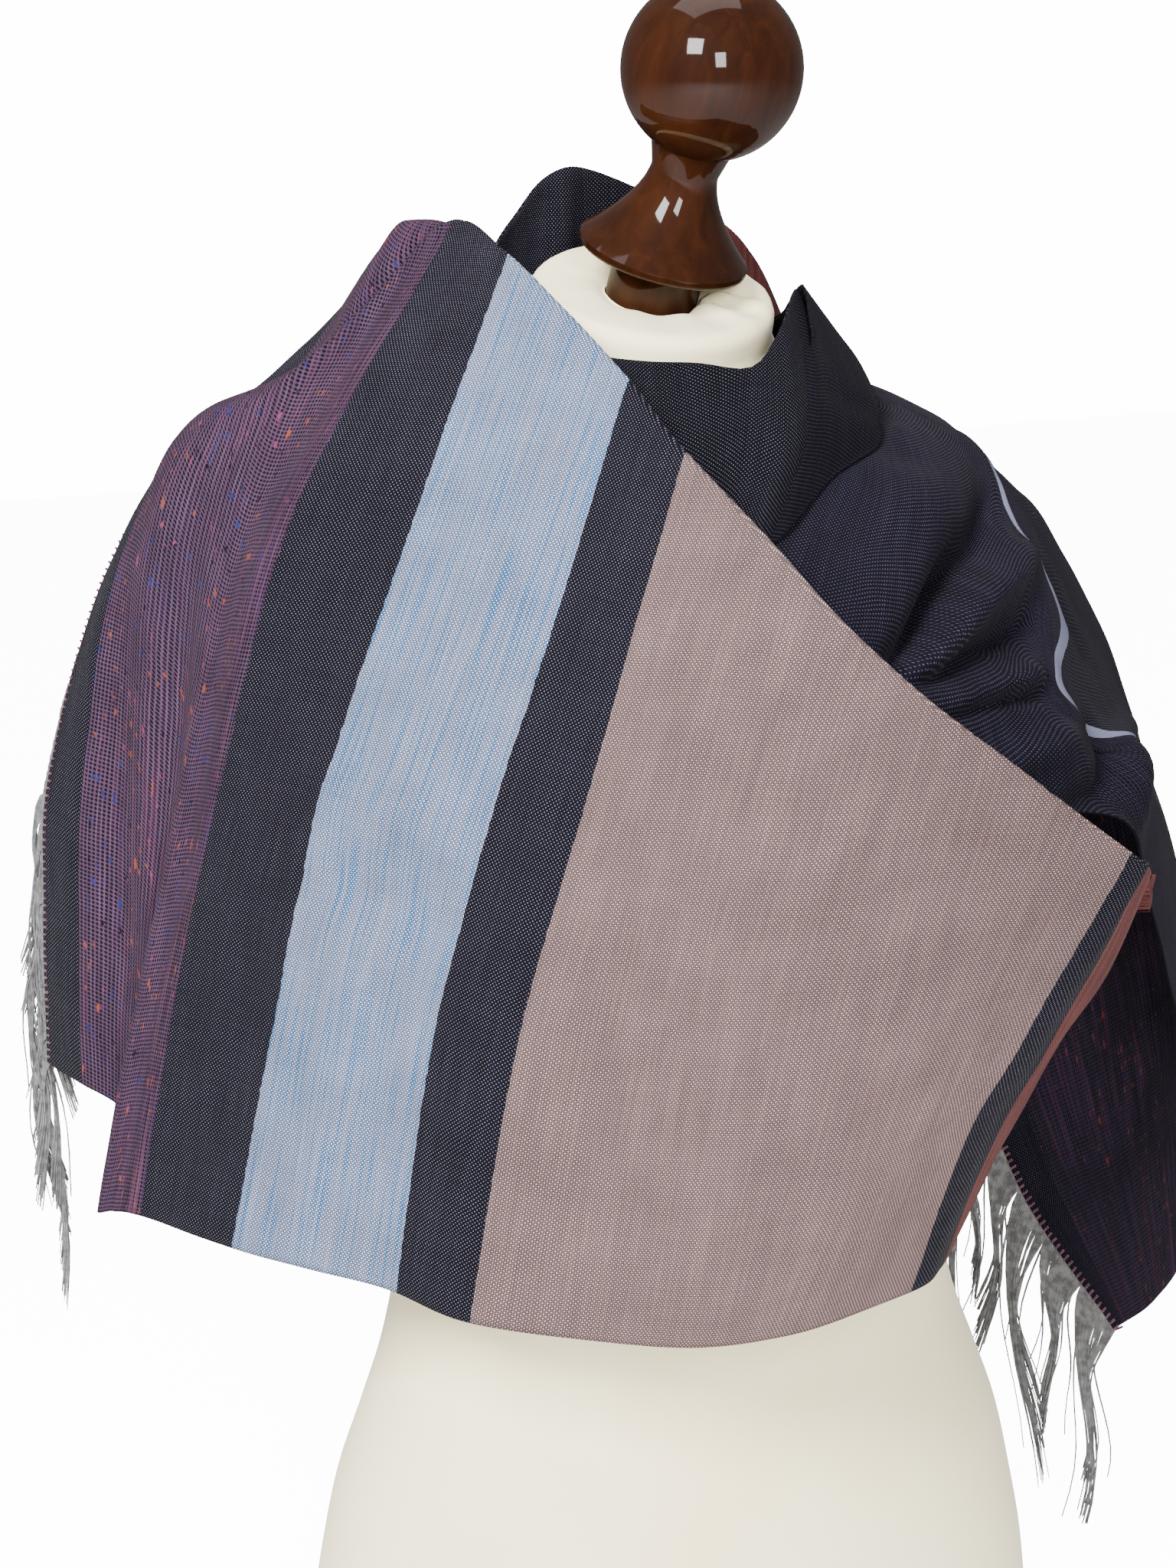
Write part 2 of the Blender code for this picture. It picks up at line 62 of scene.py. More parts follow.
def evenPlaces(points, count, samples=240):
    # places 0 to 1 that part a curve into stretches of one length
    dots = [curvePoint(points, k / samples) for k in range(samples + 1)]
    runs = [0.0]
    for a, b in zip(dots, dots[1:]):
        runs.append(runs[-1] + (b - a).length)
    return np.interp(np.linspace(0, runs[-1], count + 1), runs, np.linspace(0, 1, samples + 1))


# cloth sheets
def sheetPlace(lines, row, level):
    # point of a sheet at a section row and a level, both counted from 0
    up = level / (len(lines[0]) - 1)
    return curvePoint([curvePoint(line, up) for line in lines], row / (len(lines) - 1))


def foldLift(points, lines, folds):
    # how far the folds lift each point: a ridge, or a trough where the height is negative
    lift = np.zeros(len(points))
    for path, halfWidth, height in folds:
        dots = [sheetPlace(lines, row, level) for row, level in path]
        if len(dots) > 2:
            dots = [curvePoint(dots, k / 14) for k in range(15)]
        near = np.full(len(points), 1e9)
        fade = np.ones(len(points))
        total = len(dots) - 1
        for k, (a, b) in enumerate(zip(dots, dots[1:])):
            start, run = np.array(a), np.array(b - a)
            t = np.clip(((points - start) @ run) / max(run @ run, 1e-9), 0, 1)
            away = np.linalg.norm(points - start - t[:, None] * run, axis=1)
            better = away < near
            near = np.where(better, away, near)
            fade = np.where(better, np.sin(np.pi * np.clip((k + t) / total, 0, 1)) ** 0.5 * 0.75 + 0.25, fade)
        lift += height * fade * np.exp(-(near / halfWidth) ** 2)
    return lift


def unevenness(points, size, seed):
    # smooth hand-made unevenness from a few crossed waves, -1 to 1
    rnd = random.Random(seed)
    total = np.zeros(len(points))
    for _ in range(5):
        way = np.array([rnd.uniform(-1, 1), rnd.uniform(-1, 1), rnd.uniform(-1, 1)])
        way /= np.linalg.norm(way)
        total += np.sin(points @ way * (2 * np.pi / (size * rnd.uniform(0.7, 1.5))) + rnd.uniform(0, 6.3))
    return total / 5


def layDown(bm, below, clear, reach=26):
    # lifts the points of a layer off the one below
    for tree in below:
        for v in bm.verts:
            spot, normal, _, distance = tree.find_nearest(v.co)
            if spot is None or distance > reach:
                continue
            away = (v.co - spot).dot(normal)
            if away < clear and distance - abs(away) < clear:
                v.co += normal * (clear - away)
    bm.normal_update()


def sectionLines(spec):
    # points of every section, by its name, with the part beyond the crest
    beyond = spec.get("beyondCrest", {})
    return {name: [Vector(point) for point in (*points, *beyond.get(name, ()))]
            for name, *points in spec["sections"]}


def crestHeights(rows, levels, share):
    # the share of the rows lies up to the crest, the rest where the cloth turns over
    crest = (levels - 3) / levels
    flat = round(rows * share)
    return np.concatenate([np.linspace(0, crest, flat + 1), np.linspace(crest, 1, rows - flat + 1)[1:]])


def gridCounts(bm, columns, rows):
    # column and row of every point of a fresh grid
    bm.verts.ensure_lookup_table()
    c = np.array([round((v.co.x + 0.5) * columns) for v in bm.verts])
    r = np.array([round((v.co.y + 0.5) * rows) for v in bm.verts])
    return c, r


def clothLengths(flat, c, r, columns, rows):
    # metres along the cloth at each column, and up it at each point
    grid = np.zeros((columns + 1, rows + 1, 3))
    grid[c, r] = flat
    stepU = np.linalg.norm(np.diff(grid, axis=0), axis=2).mean(axis=1)
    along = np.concatenate([[0], np.cumsum(stepU)]) * mm
    stepV = np.linalg.norm(np.diff(grid, axis=1), axis=2)
    up = np.concatenate([np.zeros((columns + 1, 1)), np.cumsum(stepV, axis=1)], axis=1) * mm
    return along, up


def softLine(spec, levels):
    # levels and rows of the pale line, its corners smoothed away
    fine = np.linspace(-1, levels + 1, 40 * (levels + 2) + 1)
    window = np.hanning(25)
    return fine, np.convolve(np.interp(fine, *zip(*spec["line"])), window / window.sum(), mode="same")


def bandRow(spec, row, level, line):
    # row that the stripes go by, bent where a pale line wavers
    if line is None:
        return row
    middle, spread = spec["lineRow"], spec["lineSpread"]
    reach = max(0.0, 1 - abs(row - middle) / spread)
    row -= (float(np.interp(level, *line)) - middle) * reach * (2 - reach)
    if level < spec["lineEnd"] and row < 6:
        row = min(row, 4.8)
    return row


def makeSheet(name, spec, below=()):
    lines = list(sectionLines(spec).values())
    columns, rows = spec["columns"], spec["rows"]
    levels = len(lines[0]) - 1
    middle = [curvePoint(line, spec.get("measureLevel", 0.4)) for line in lines]
    places = evenPlaces(middle, columns)
    heights = np.linspace(0, 1, rows + 1)
    if "flatShare" in spec:
        heights = crestHeights(rows, levels, spec["flatShare"])
    bm = bmesh.new()
    bmesh.ops.create_grid(bm, x_segments=columns, y_segments=rows, size=0.5)
    c, r = gridCounts(bm, columns, rows)
    levelLines = [[curvePoint(line, h) for line in lines] for h in heights]
    for v, ci, ri in zip(bm.verts, c, r):
        v.co = curvePoint(levelLines[ri], places[ci])
    bm.normal_update()
    outwards = sum(f.normal.xy.dot(f.calc_center_median().xy) for f in bm.faces)
    if outwards < 0:
        bmesh.ops.reverse_faces(bm, faces=bm.faces)
        bm.normal_update()
    flat = np.array([v.co for v in bm.verts])
    along, up = clothLengths(flat, c, r, columns, rows)

    # folds and unevenness lift the cloth along its normals
    lift = foldLift(flat, lines, spec.get("folds", ()))
    for size, height, seed in spec.get("waves", ()):
        lift += height * unevenness(flat, size, seed)
    normals = np.array([v.normal for v in bm.verts])
    for v, place in zip(bm.verts, flat + normals * lift[:, None]):
        v.co = place
    bmesh.ops.smooth_vert(bm, verts=bm.verts, factor=0.5, use_axis_x=True, use_axis_y=True, use_axis_z=True)
    bm.normal_update()
    layDown(bm, below, spec["thickness"] + 0.5)

    # the weave reads the UV map in metres, the stripes read the band attribute
    uvLayer = bm.loops.layers.uv.new("cloth")
    bandLayer = bm.verts.layers.float.new("band")
    line = softLine(spec, levels) if "line" in spec else None
    for v, ci, ri in zip(bm.verts, c, r):
        v[bandLayer] = bandRow(spec, places[ci] * (len(lines) - 1), heights[ri] * levels, line)
    bm.verts.index_update()
    for face in bm.faces:
        for loop in face.loops:
            k = loop.vert.index
            loop[uvLayer].uv = (along[c[k]], up[c[k], r[k]])
    tree = BVHTree.FromBMesh(bm)
    bmesh.ops.scale(bm, vec=(mm, mm, mm), verts=bm.verts)
    mesh = bpy.data.meshes.new(name)
    bm.to_mesh(mesh)
    bm.free()
    mesh.shade_smooth()
    sheet = bpy.data.objects.new(name, mesh)
    bpy.context.collection.objects.link(sheet)
    wall = sheet.modifiers.new("wall", "SOLIDIFY")
    wall.thickness = spec["thickness"] * mm
    wall.offset = 0
    cut = (float(up.max()), float(along[-1]), sum(face.area for face in mesh.polygons))
    print("  sheet", name, len(mesh.polygons), "faces, width, length and area", [round(x, 3) for x in cut])
    return sheet, tree


# node helpers
class Nodes:
    def __init__(self, tree):
        self.tree = tree

    def add(self, kind, label="", **values):
        node = self.tree.nodes.new(kind)
        node.label = label
        for key, value in values.items():
            setattr(node, key, value)
        return node

    def join(self, start, end):
        self.tree.links.new(start, end)

    def put(self, socket, value):
        if isinstance(value, bpy.types.NodeSocket):
            self.join(value, socket)
        else:
            socket.default_value = value

    def fill(self, node, values):
        for key, value in values.items():
            self.put(node.inputs[key], value)
        return node

    def calc(self, operation, *values, clamp=False):
        node = self.add("ShaderNodeMath", operation=operation, use_clamp=clamp)
        return self.fill(node, dict(enumerate(values))).outputs[0]

    def mix(self, share, a, b):
        node = self.add("ShaderNodeMix", data_type="RGBA")
        return self.fill(node, {0: share, 6: a, 7: b}).outputs[2]

    def ramp(self, value, stops, interpolation="LINEAR"):
        node = self.add("ShaderNodeValToRGB")
        node.color_ramp.interpolation = interpolation
        elements = node.color_ramp.elements
        while len(elements) > 1:
            elements.remove(elements[-1])
        elements[0].position, elements[0].color = stops[0][0], stops[0][1]
        for position, colour in stops[1:]:
            elements.new(position).color = colour
        self.put(node.inputs[0], value)
        return node.outputs[0]

    def noise(self, vector, scale, detail=2.0, roughness=0.5, distortion=0.0):
        return self.fill(self.add("ShaderNodeTexNoise"), {
            "Vector": vector, "Scale": scale, "Detail": detail, "Roughness": roughness,
            "Distortion": distortion}).outputs["Fac"]

    def scaled(self, vector, x, y, z=1.0):
        return self.fill(self.add("ShaderNodeMapping"), {"Vector": vector, "Scale": (x, y, z)}).outputs[0]

    def bump(self, height, strength, distance):
        return self.fill(self.add("ShaderNodeBump"), {
            "Height": height, "Strength": strength, "Distance": distance}).outputs[0]

    def soft(self, value, low, high):
        return self.fill(self.add("ShaderNodeMapRange", interpolation_type="SMOOTHSTEP"), {
            "Value": value, "From Min": low, "From Max": high}).outputs[0]


def newGroup(name, inputs, outputs):
    tree = bpy.data.node_groups.new(name, "ShaderNodeTree")
    for label, kind, value in inputs:
        socket = tree.interface.new_socket(name=label, in_out="INPUT", socket_type=kind)
        if value is not None:
            socket.default_value = value
    for label, kind in outputs:
        tree.interface.new_socket(name=label, in_out="OUTPUT", socket_type=kind)
    nodes = Nodes(tree)
    return tree, nodes, nodes.add("NodeGroupInput"), nodes.add("NodeGroupOutput")


def newMaterial(name):
    made = bpy.data.materials.new(name)
    made.use_nodes = True
    nodes = Nodes(made.node_tree)
    return made, nodes, made.node_tree.nodes["Principled BSDF"]


def useGroup(nodes, tree, **values):
    return nodes.fill(nodes.add("ShaderNodeGroup", node_tree=tree), values)


weaveSpec = {
    # in metres: width of a yarn, and how far the yarns wander
    "yarn": 0.00097, "wander": 0.0011,
    # how far the yarns' thickness varies, and where the warp's dots and the open grid begin and end
    "thickness": 0.3, "dots": (0.56, 0.76), "grid": (-0.56, -0.26),
}


# plain weave: which cells show the warp, and how high the yarns stand
def buildWeave():
    tree, n, given, out = newGroup(
        "plainWeave", [("Vector", "NodeSocketVector", None), ("Yarn", "NodeSocketFloat", weaveSpec["yarn"])],
        [(label, "NodeSocketFloat") for label in ("Warp", "Grid", "Height", "Yarn Shade")])
    place = given.outputs["Vector"]
    wander = n.noise(place, 55, 1)
    split = n.add("ShaderNodeSeparateXYZ")
    n.join(place, split.inputs[0])
    shift = n.calc("MULTIPLY", n.calc("SUBTRACT", wander, 0.5), weaveSpec["wander"])
    a = n.calc("DIVIDE", n.calc("ADD", split.outputs[0], shift), given.outputs["Yarn"])
    b = n.calc("DIVIDE", n.calc("SUBTRACT", split.outputs[1], shift), given.outputs["Yarn"])
    sa = n.calc("SINE", n.calc("MULTIPLY", a, math.pi))
    sb = n.calc("SINE", n.calc("MULTIPLY", b, math.pi))
    cross = n.calc("MULTIPLY", sa, sb)
    thick = n.noise(n.scaled(place, 30, 1300), 1, 1)
    thick = n.calc("MULTIPLY", n.calc("SUBTRACT", thick, 0.5), weaveSpec["thickness"])
    n.join(n.soft(n.calc("ADD", cross, thick), *weaveSpec["dots"]), out.inputs["Warp"])
    halves = [n.calc("ABSOLUTE", n.calc("SINE", n.calc("MULTIPLY", part, math.pi / 2))) for part in (a, b)]
    square = n.calc("MULTIPLY", *halves)
    n.join(n.soft(n.calc("SUBTRACT", thick, square), *weaveSpec["grid"]), out.inputs["Grid"])
    n.join(n.calc("POWER", n.calc("ABSOLUTE", cross), 0.6), out.inputs["Height"])
    n.join(n.noise(n.scaled(place, 1300, 25), 1, 2), out.inputs["Yarn Shade"])
    return tree


# streaks of odd picks that run from selvedge to selvedge
def buildStreaks():
    tree, n, given, out = newGroup(
        "oddPicks", [("Vector", "NodeSocketVector", None), ("Fine", "NodeSocketFloat", 900.0),
                     ("Long", "NodeSocketFloat", 8.0), ("Low", "NodeSocketFloat", 0.5)],
        [("Mask", "NodeSocketFloat")])
    split = n.add("ShaderNodeSeparateXYZ")
    n.join(given.outputs["Vector"], split.inputs[0])
    place = n.add("ShaderNodeCombineXYZ")
    n.join(n.calc("MULTIPLY", split.outputs[0], given.outputs["Fine"]), place.inputs[0])
    n.join(n.calc("MULTIPLY", split.outputs[1], given.outputs["Long"]), place.inputs[1])
    value = n.noise(place.outputs[0], 1, 1)
    over = n.calc("SUBTRACT", value, given.outputs["Low"])
    n.join(n.calc("MULTIPLY", over, 9.0, clamp=True), out.inputs["Mask"])
    return tree


# short thick spots of slub in the weft
def buildSlubs():
    tree, n, given, out = newGroup(
        "slubs", [("Vector", "NodeSocketVector", None), ("Low", "NodeSocketFloat", 0.66)],
        [("Mask", "NodeSocketFloat"), ("Hue", "NodeSocketFloat")])
    place = n.scaled(given.outputs["Vector"], 430, 150)
    value = n.noise(place, 1, 0.5)
    over = n.calc("SUBTRACT", value, given.outputs["Low"])
    n.join(n.calc("MULTIPLY", over, 11.0, clamp=True), out.inputs["Mask"])
    n.join(n.noise(n.scaled(given.outputs["Vector"], 60, 25), 1, 0), out.inputs["Hue"])
    return tree


weave, oddPicks, slubs = buildWeave(), buildStreaks(), buildSlubs()

yarns = {
    # colour of the yarn, linear
    "black": (0.0024, 0.0021, 0.0048, 1),
    "navy": (0.0040, 0.0035, 0.0090, 1),
    "plum": (0.012, 0.005, 0.017, 1),
    "purple": (0.024, 0.010, 0.038, 1),
    "magenta": (0.13, 0.024, 0.060, 1),
    "pink": (0.17, 0.055, 0.095, 1),
    "orange": (0.17, 0.040, 0.014, 1),
    "blue": (0.012, 0.016, 0.075, 1),
    "sky": (0.016, 0.066, 0.160, 1),
    "mist": (0.078, 0.096, 0.158, 1),
    "pale": (0.17, 0.18, 0.23, 1),
    "white": (0.33, 0.34, 0.38, 1),
    "rose": (0.076, 0.051, 0.051, 1),
    "roseLight": (0.130, 0.080, 0.070, 1),
    "roseDark": (0.030, 0.021, 0.024, 1),
    "rust": (0.075, 0.020, 0.020, 1),
    "rustLight": (0.13, 0.042, 0.036, 1),
    "lavender": (0.095, 0.098, 0.145, 1),
    "greyDot": (0.128, 0.120, 0.150, 1),
    # painted shade: warp dots painted darker, for cloth that lies in shade
    "shadedDot": (0.050, 0.041, 0.058, 1),
    "lilacDot": (0.088, 0.047, 0.080, 1),
    "whiteDot": (0.86, 0.87, 0.90, 1),
    "roseDot": (0.56, 0.395, 0.365, 1),
    "rustDot": (0.17, 0.09, 0.085, 1),
}
bandKinds = {
    # main weft, odd picks, other odd picks, warp dots;
    # shares of odd picks, of the others and of dots;
    # shares of slubs, of the open grid and of the painted shade between the yarns
    "navy": ("black", "navy", "navy", "greyDot", (0.5, 0.15, 0.88), (0.0, 0.0, 0.6)),
    # painted shade: a darker copy of navy, for cloth that lies in shade
    "navyShaded": ("black", "navy", "navy", "shadedDot", (0.5, 0.15, 0.80), (0.0, 0.0, 0.4)),
    "purple": ("navy", "plum", "magenta", "lilacDot", (0.75, 0.16, 0.80), (0.95, 0.9, 0.3)),
    "purpleEdge": ("black", "purple", "pink", "lilacDot", (0.60, 0.32, 0.75), (0.5, 0.75, 0.4)),
    # painted shade: a darker copy of purple, for the inner face of the end that lies in shade
    "purpleBackShaded": ("black", "plum", "magenta", "shadedDot", (0.65, 0.10, 0.50), (0.25, 0.4, 0.2)),
    "sky": ("mist", "sky", "pale", "whiteDot", (0.85, 0.30, 0.95), (0.0, 0.0, 0.70)),
    "skyEdge": ("white", "white", "white", "whiteDot", (0.5, 0.5, 0.9), (0.0, 0.0, 0.1)),
    "rose": ("rose", "roseLight", "roseDark", "roseDot", (0.30, 0.10, 0.92), (0.0, 0.0, 0.85)),
    "rust": ("rust", "rustLight", "black", "rustDot", (0.6, 0.3, 0.35), (0.0, 0.3, 0.3)),
    "lavender": ("lavender", "lavender", "mist", "lavender", (0.5, 0.3, 0.5), (0.0, 0.0, 0.1)),
}


clothLook = {
    "least": 0.66, "broadShade": 0.14, "patchShade": 0.54,   # brightness, and how far soft shades vary it
    # painted shade: the dark colour in the hollows between the yarns
    "raggedEdge": 0.035, "bump": 0.55, "bumpDepth": 0.00035, "gapShade": (0.003, 0.003, 0.004, 1),
    "shader": {"Roughness": 0.82, "Specular IOR Level": 0.04, "Sheen Roughness": 0.4},
}


# the sheet's tone given here is painted light and shade for the whole sheet
def clothMaterial(name, bands, lastRow, paintedShadeTone, sheen):
    made, n, shader = newMaterial(name)
    uv = n.add("ShaderNodeUVMap", uv_map="cloth").outputs[0]
    attribute = n.add("ShaderNodeAttribute", attribute_name="band")
    ragged = n.calc("SUBTRACT", n.noise(n.scaled(uv, 60, 220), 1, 1), 0.5)
    ragged = n.calc("MULTIPLY", ragged, clothLook["raggedEdge"])
    at = n.calc("DIVIDE", n.calc("ADD", attribute.outputs["Fac"], ragged), lastRow)

    def stops(pick):
        return [(row / lastRow, pick(bandKinds[kind])) for row, kind in bands]
    main, odd, other, dots = (n.ramp(at, stops(lambda k, i=i: yarns[k[i]]), "CONSTANT") for i in range(4))
    shares, others = n.add("ShaderNodeSeparateColor"), n.add("ShaderNodeSeparateColor")
    n.join(n.ramp(at, stops(lambda k: (*k[4], 1)), "CONSTANT"), shares.inputs[0])
    n.join(n.ramp(at, stops(lambda k: (*k[5], 1)), "CONSTANT"), others.inputs[0])

    cloth = useGroup(n, weave, Vector=uv)
    aside = n.fill(n.add("ShaderNodeVectorMath", operation="ADD"), {0: uv, 1: (3.7, 1.3, 0)}).outputs[0]
    picksA = useGroup(n, oddPicks, Vector=uv, Fine=640.0, Long=15.0, Low=0.50)
    picksB = useGroup(n, oddPicks, Vector=aside, Fine=560.0, Long=8.0, Low=0.57)
    broad = n.noise(n.scaled(uv, 95, 12), 1, 1)
    patch = n.noise(uv, 34, 3)
    spots = useGroup(n, slubs, Vector=uv)
    weft = n.mix(n.calc("MULTIPLY", picksA.outputs["Mask"], shares.outputs[0]), main, odd)
    weft = n.mix(n.calc("MULTIPLY", picksB.outputs["Mask"], shares.outputs[1]), weft, other)
    hues = n.ramp(spots.outputs["Hue"], [(0.0, yarns["blue"]), (0.44, yarns["black"]), (0.52, yarns["magenta"]),
                                         (0.58, yarns["orange"])], "CONSTANT")
    warpShade = n.mix(n.soft(cloth.outputs["Yarn Shade"], 0.25, 0.75), n.mix(0.5, dots, (0, 0, 0, 1)), dots)
    mask = n.mix(others.outputs[1], cloth.outputs["Warp"], cloth.outputs["Grid"])
    dip = n.soft(cloth.outputs["Height"], 0.0, 0.5)
    # painted shade between the yarns, where they lie low
    whole = n.mix(n.calc("MULTIPLY", n.calc("SUBTRACT", 1.0, dip), others.outputs[2]), weft, clothLook["gapShade"])
    whole = n.mix(n.calc("MULTIPLY", mask, shares.outputs[2]), whole, warpShade)
    whole = n.mix(n.calc("MULTIPLY", spots.outputs["Mask"], others.outputs[0]), whole, hues)
    # soft random shades, times the sheet's painted light and shade
    value = n.calc("ADD", clothLook["least"], n.calc("MULTIPLY", broad, clothLook["broadShade"]))
    value = n.calc("MULTIPLY", n.calc("ADD", value, n.calc("MULTIPLY", patch, clothLook["patchShade"])), paintedShadeTone)
    lit = n.add("ShaderNodeHueSaturation")
    n.join(value, lit.inputs["Value"])
    n.join(whole, lit.inputs["Color"])
    n.join(lit.outputs[0], shader.inputs["Base Color"])
    n.fill(shader, {**clothLook["shader"], "Sheen Weight": sheen})
    n.join(n.bump(cloth.outputs["Height"], clothLook["bump"], clothLook["bumpDepth"]), shader.inputs["Normal"])
    return made


# the outer wrap, first end to the side
outerWrap = {
    "thickness": 1.2, "columns": 250, "rows": 150, "flatShare": 0.74, "measureLevel": 0.35,
    "sections": (
        # name, hem, waist, chest, shoulder, crest
        ("end", (-262, 138, 298), (-260, 137, 370), (-254, 135, 440), (-224, 130, 530), (-184, 118, 594)),
        ("end stripe", (-254, 106, 296), (-252, 105, 365), (-247, 104, 440), (-226, 104, 538), (-188, 98, 603)),
        ("flank", (-240, 84, 288), (-236, 83, 355), (-230, 82, 440), (-216, 84, 546), (-186, 84, 608)),
        ("hollow", (-238, 68, 270), (-230, 66, 345), (-218, 62, 434), (-203, 64, 550), (-173, 72, 616)),
        ("right ridge", (-261, 55, 252), (-243, 53, 335), (-221, 47, 430), (-190, 40, 550), (-150, 60, 628)),
        ("purple", (-257, 44, 254), (-236, 40, 345), (-213, 30, 445), (-181, 22, 560), (-120, 38, 655)),
        ("navy start", (-248, 30, 255), (-226, 26, 365), (-202, 12, 467), (-168, 4, 578), (-92, 20, 684)),
        ("sky start", (-222, -24, 255), (-199, -31, 359), (-176, -40, 462), (-126, -46, 595), (-78, -14, 675)),
        ("sky middle", (-198, -62, 254), (-177, -68, 362), (-152, -77, 468), (-109, -78, 578), (-66, -50, 653)),
        ("navy2 start", (-171, -97, 252), (-152, -101, 365), (-127, -111, 460), (-92, -113, 553), (-52, -84, 627)),
        ("rose start", (-147, -124, 244), (-124, -129, 362), (-104, -138, 440), (-76, -139, 525), (-42, -121, 599)),
        ("rose first", (-106, -154, 240), (-90, -158, 335), (-73, -162, 420), (-50, -160, 500), (-22, -148, 572)),
        ("rose middle", (-64, -177, 238), (-47, -181, 325), (-32, -184, 395), (-9, -181, 465), (16, -172, 524)),
        ("rose last", (-24, -190, 243), (2, -192, 305), (20, -193, 360), (40, -190, 420), (64, -180, 481)),
        ("fold", (32, -187, 250), (56, -189, 316), (82, -188, 352), (112, -183, 388), (146, -171, 421)),
        ("round", (53, -171, 251), (75, -175, 310), (99, -176, 345), (128, -172, 380), (159, -159, 414)),
        ("navy3 end", (70, -151, 252), (92, -157, 303), (114, -160, 340), (143, -156, 369), (171, -143, 402)),
        ("rust middle", (96, -114, 250), (118, -121, 300), (138, -124, 336), (158, -123, 362), (180, -109, 392)),
        ("under arm", (129, -46, 250), (141, -48, 300), (152, -50, 345), (163, -49, 378), (176, -42, 412)),
        ("side", (151, 28, 250), (159, 30, 303), (166, 32, 350), (173, 33, 395), (178, 34, 440)),
    ),
    "beyondCrest": {
        # over, roll and tail, where the cloth turns over on the shoulder
        "end": ((-152, 104, 618), (-122, 96, 644), (-98, 90, 648)),
        "end stripe": ((-144, 89, 622), (-112, 85, 661), (-88, 88, 658)),
        "flank": ((-137, 78, 629), (-99, 72, 683), (-80, 82, 675)),
        "hollow": ((-134, 72, 634), (-98, 67, 685), (-79, 78, 679)),
        "right ridge": ((-131, 66, 640), (-99, 60, 688), (-79, 72, 683)),
        "purple": ((-118, 50, 662), (-98, 54, 692), (-78, 66, 684)),
        "navy start": ((-90, 30, 690), (-82, 40, 692), (-72, 50, 680)),
        "sky start": ((-75, -10, 678), (-69, -5, 677), (-63, -1, 668)),
    },
    "turnOver": ((3, -1.5), (6, 3), (6, 14)),   # inward, back down: the soft edge of every other row
    "folds": (
        # path of (row, level), half width, height
        (((0.9, 3.6), (1.6, 2.4), (2.2, 0.8)), 11, -4.0),
        (((3.0, 3.9), (3.2, 2.4), (3.4, 0.6)), 10, -4.5),
        (((1.9, 3.8), (2.5, 2.2), (2.9, 0.4)), 12, 3.5),
        (((4.7, 3.4), (4.9, 2.0), (4.8, 0.2)), 9, -2.5),
        (((2.4, 4.2), (3.2, 4.25), (4.0, 4.2), (4.7, 4.5), (5.3, 4.7), (5.9, 5.3)), 4.5, -6.5),
        (((2.8, 3.8), (3.6, 3.85), (4.4, 4.0), (5.1, 4.15), (5.8, 4.5)), 6, 2.5),
        (((7.0, 1.95), (8.0, 1.9), (9.0, 1.8)), 12, 3.2),
        (((7.0, 1.6), (7.9, 1.55), (8.8, 1.4)), 13, -4.2),
        (((9.4, 2.9), (10.2, 2.4), (11.0, 1.6)), 22, -1.5),
        (((12.0, 2.4), (12.8, 1.8), (13.3, 1.0)), 20, -2.0),
        (((7.0, 0.0), (7.2, 0.8), (7.3, 1.8)), 22, 2.5),
        (((8.4, 0.0), (8.6, 0.9), (8.9, 1.9)), 20, -2.5),
        (((9.6, 0.0), (9.9, 1.0), (10.2, 2.2)), 26, 2.5),
        (((11.2, 0.0), (11.5, 0.9), (12.0, 2.0)), 26, -2.0),
        (((12.8, 0.0), (13.0, 0.9), (13.2, 2.0)), 24, 2.5),
        (((10.4, 3.8), (11.6, 3.4), (12.6, 3.0)), 24, -1.5),
        (((14.6, 0.4), (15.2, 1.6), (15.6, 2.8)), 8, 1.5),
        (((16.4, 0.3), (17.0, 1.5), (17.4, 3.0)), 9, -2.5),
        (((0.6, 5.4), (1.4, 5.9), (3.0, 6.2)), 7, -3.0),
        (((1.2, 4.6), (2.4, 5.6), (3.6, 6.4)), 8, 2.5),
    ),
    "waves": ((150, 1.2, 3), (46, 0.6, 5)),
    "bands": ((0.0, "navy"), (1.0, "purple"), (5.35, "purpleEdge"), (6.0, "navy"), (7.0, "sky"),
              (8.984, "skyEdge"), (9.0, "navy"), (10.0, "rose"), (13.93, "navy"), (15.0, "rust"),
              (19.0, "rust")),
}


def addTurnOver(spec):
    # every row without its own roll turns over softly beyond the crest
    for row in spec["sections"]:
        if row[0] not in spec["beyondCrest"]:
            crest, under = Vector(row[-1]), Vector(row[-2])
            inward = Vector((-crest.x, -crest.y, 0)).normalized()
            back = (under - crest).normalized()
            spec["beyondCrest"][row[0]] = tuple(
                crest + inward * step + back * down for step, down in spec["turnOver"])


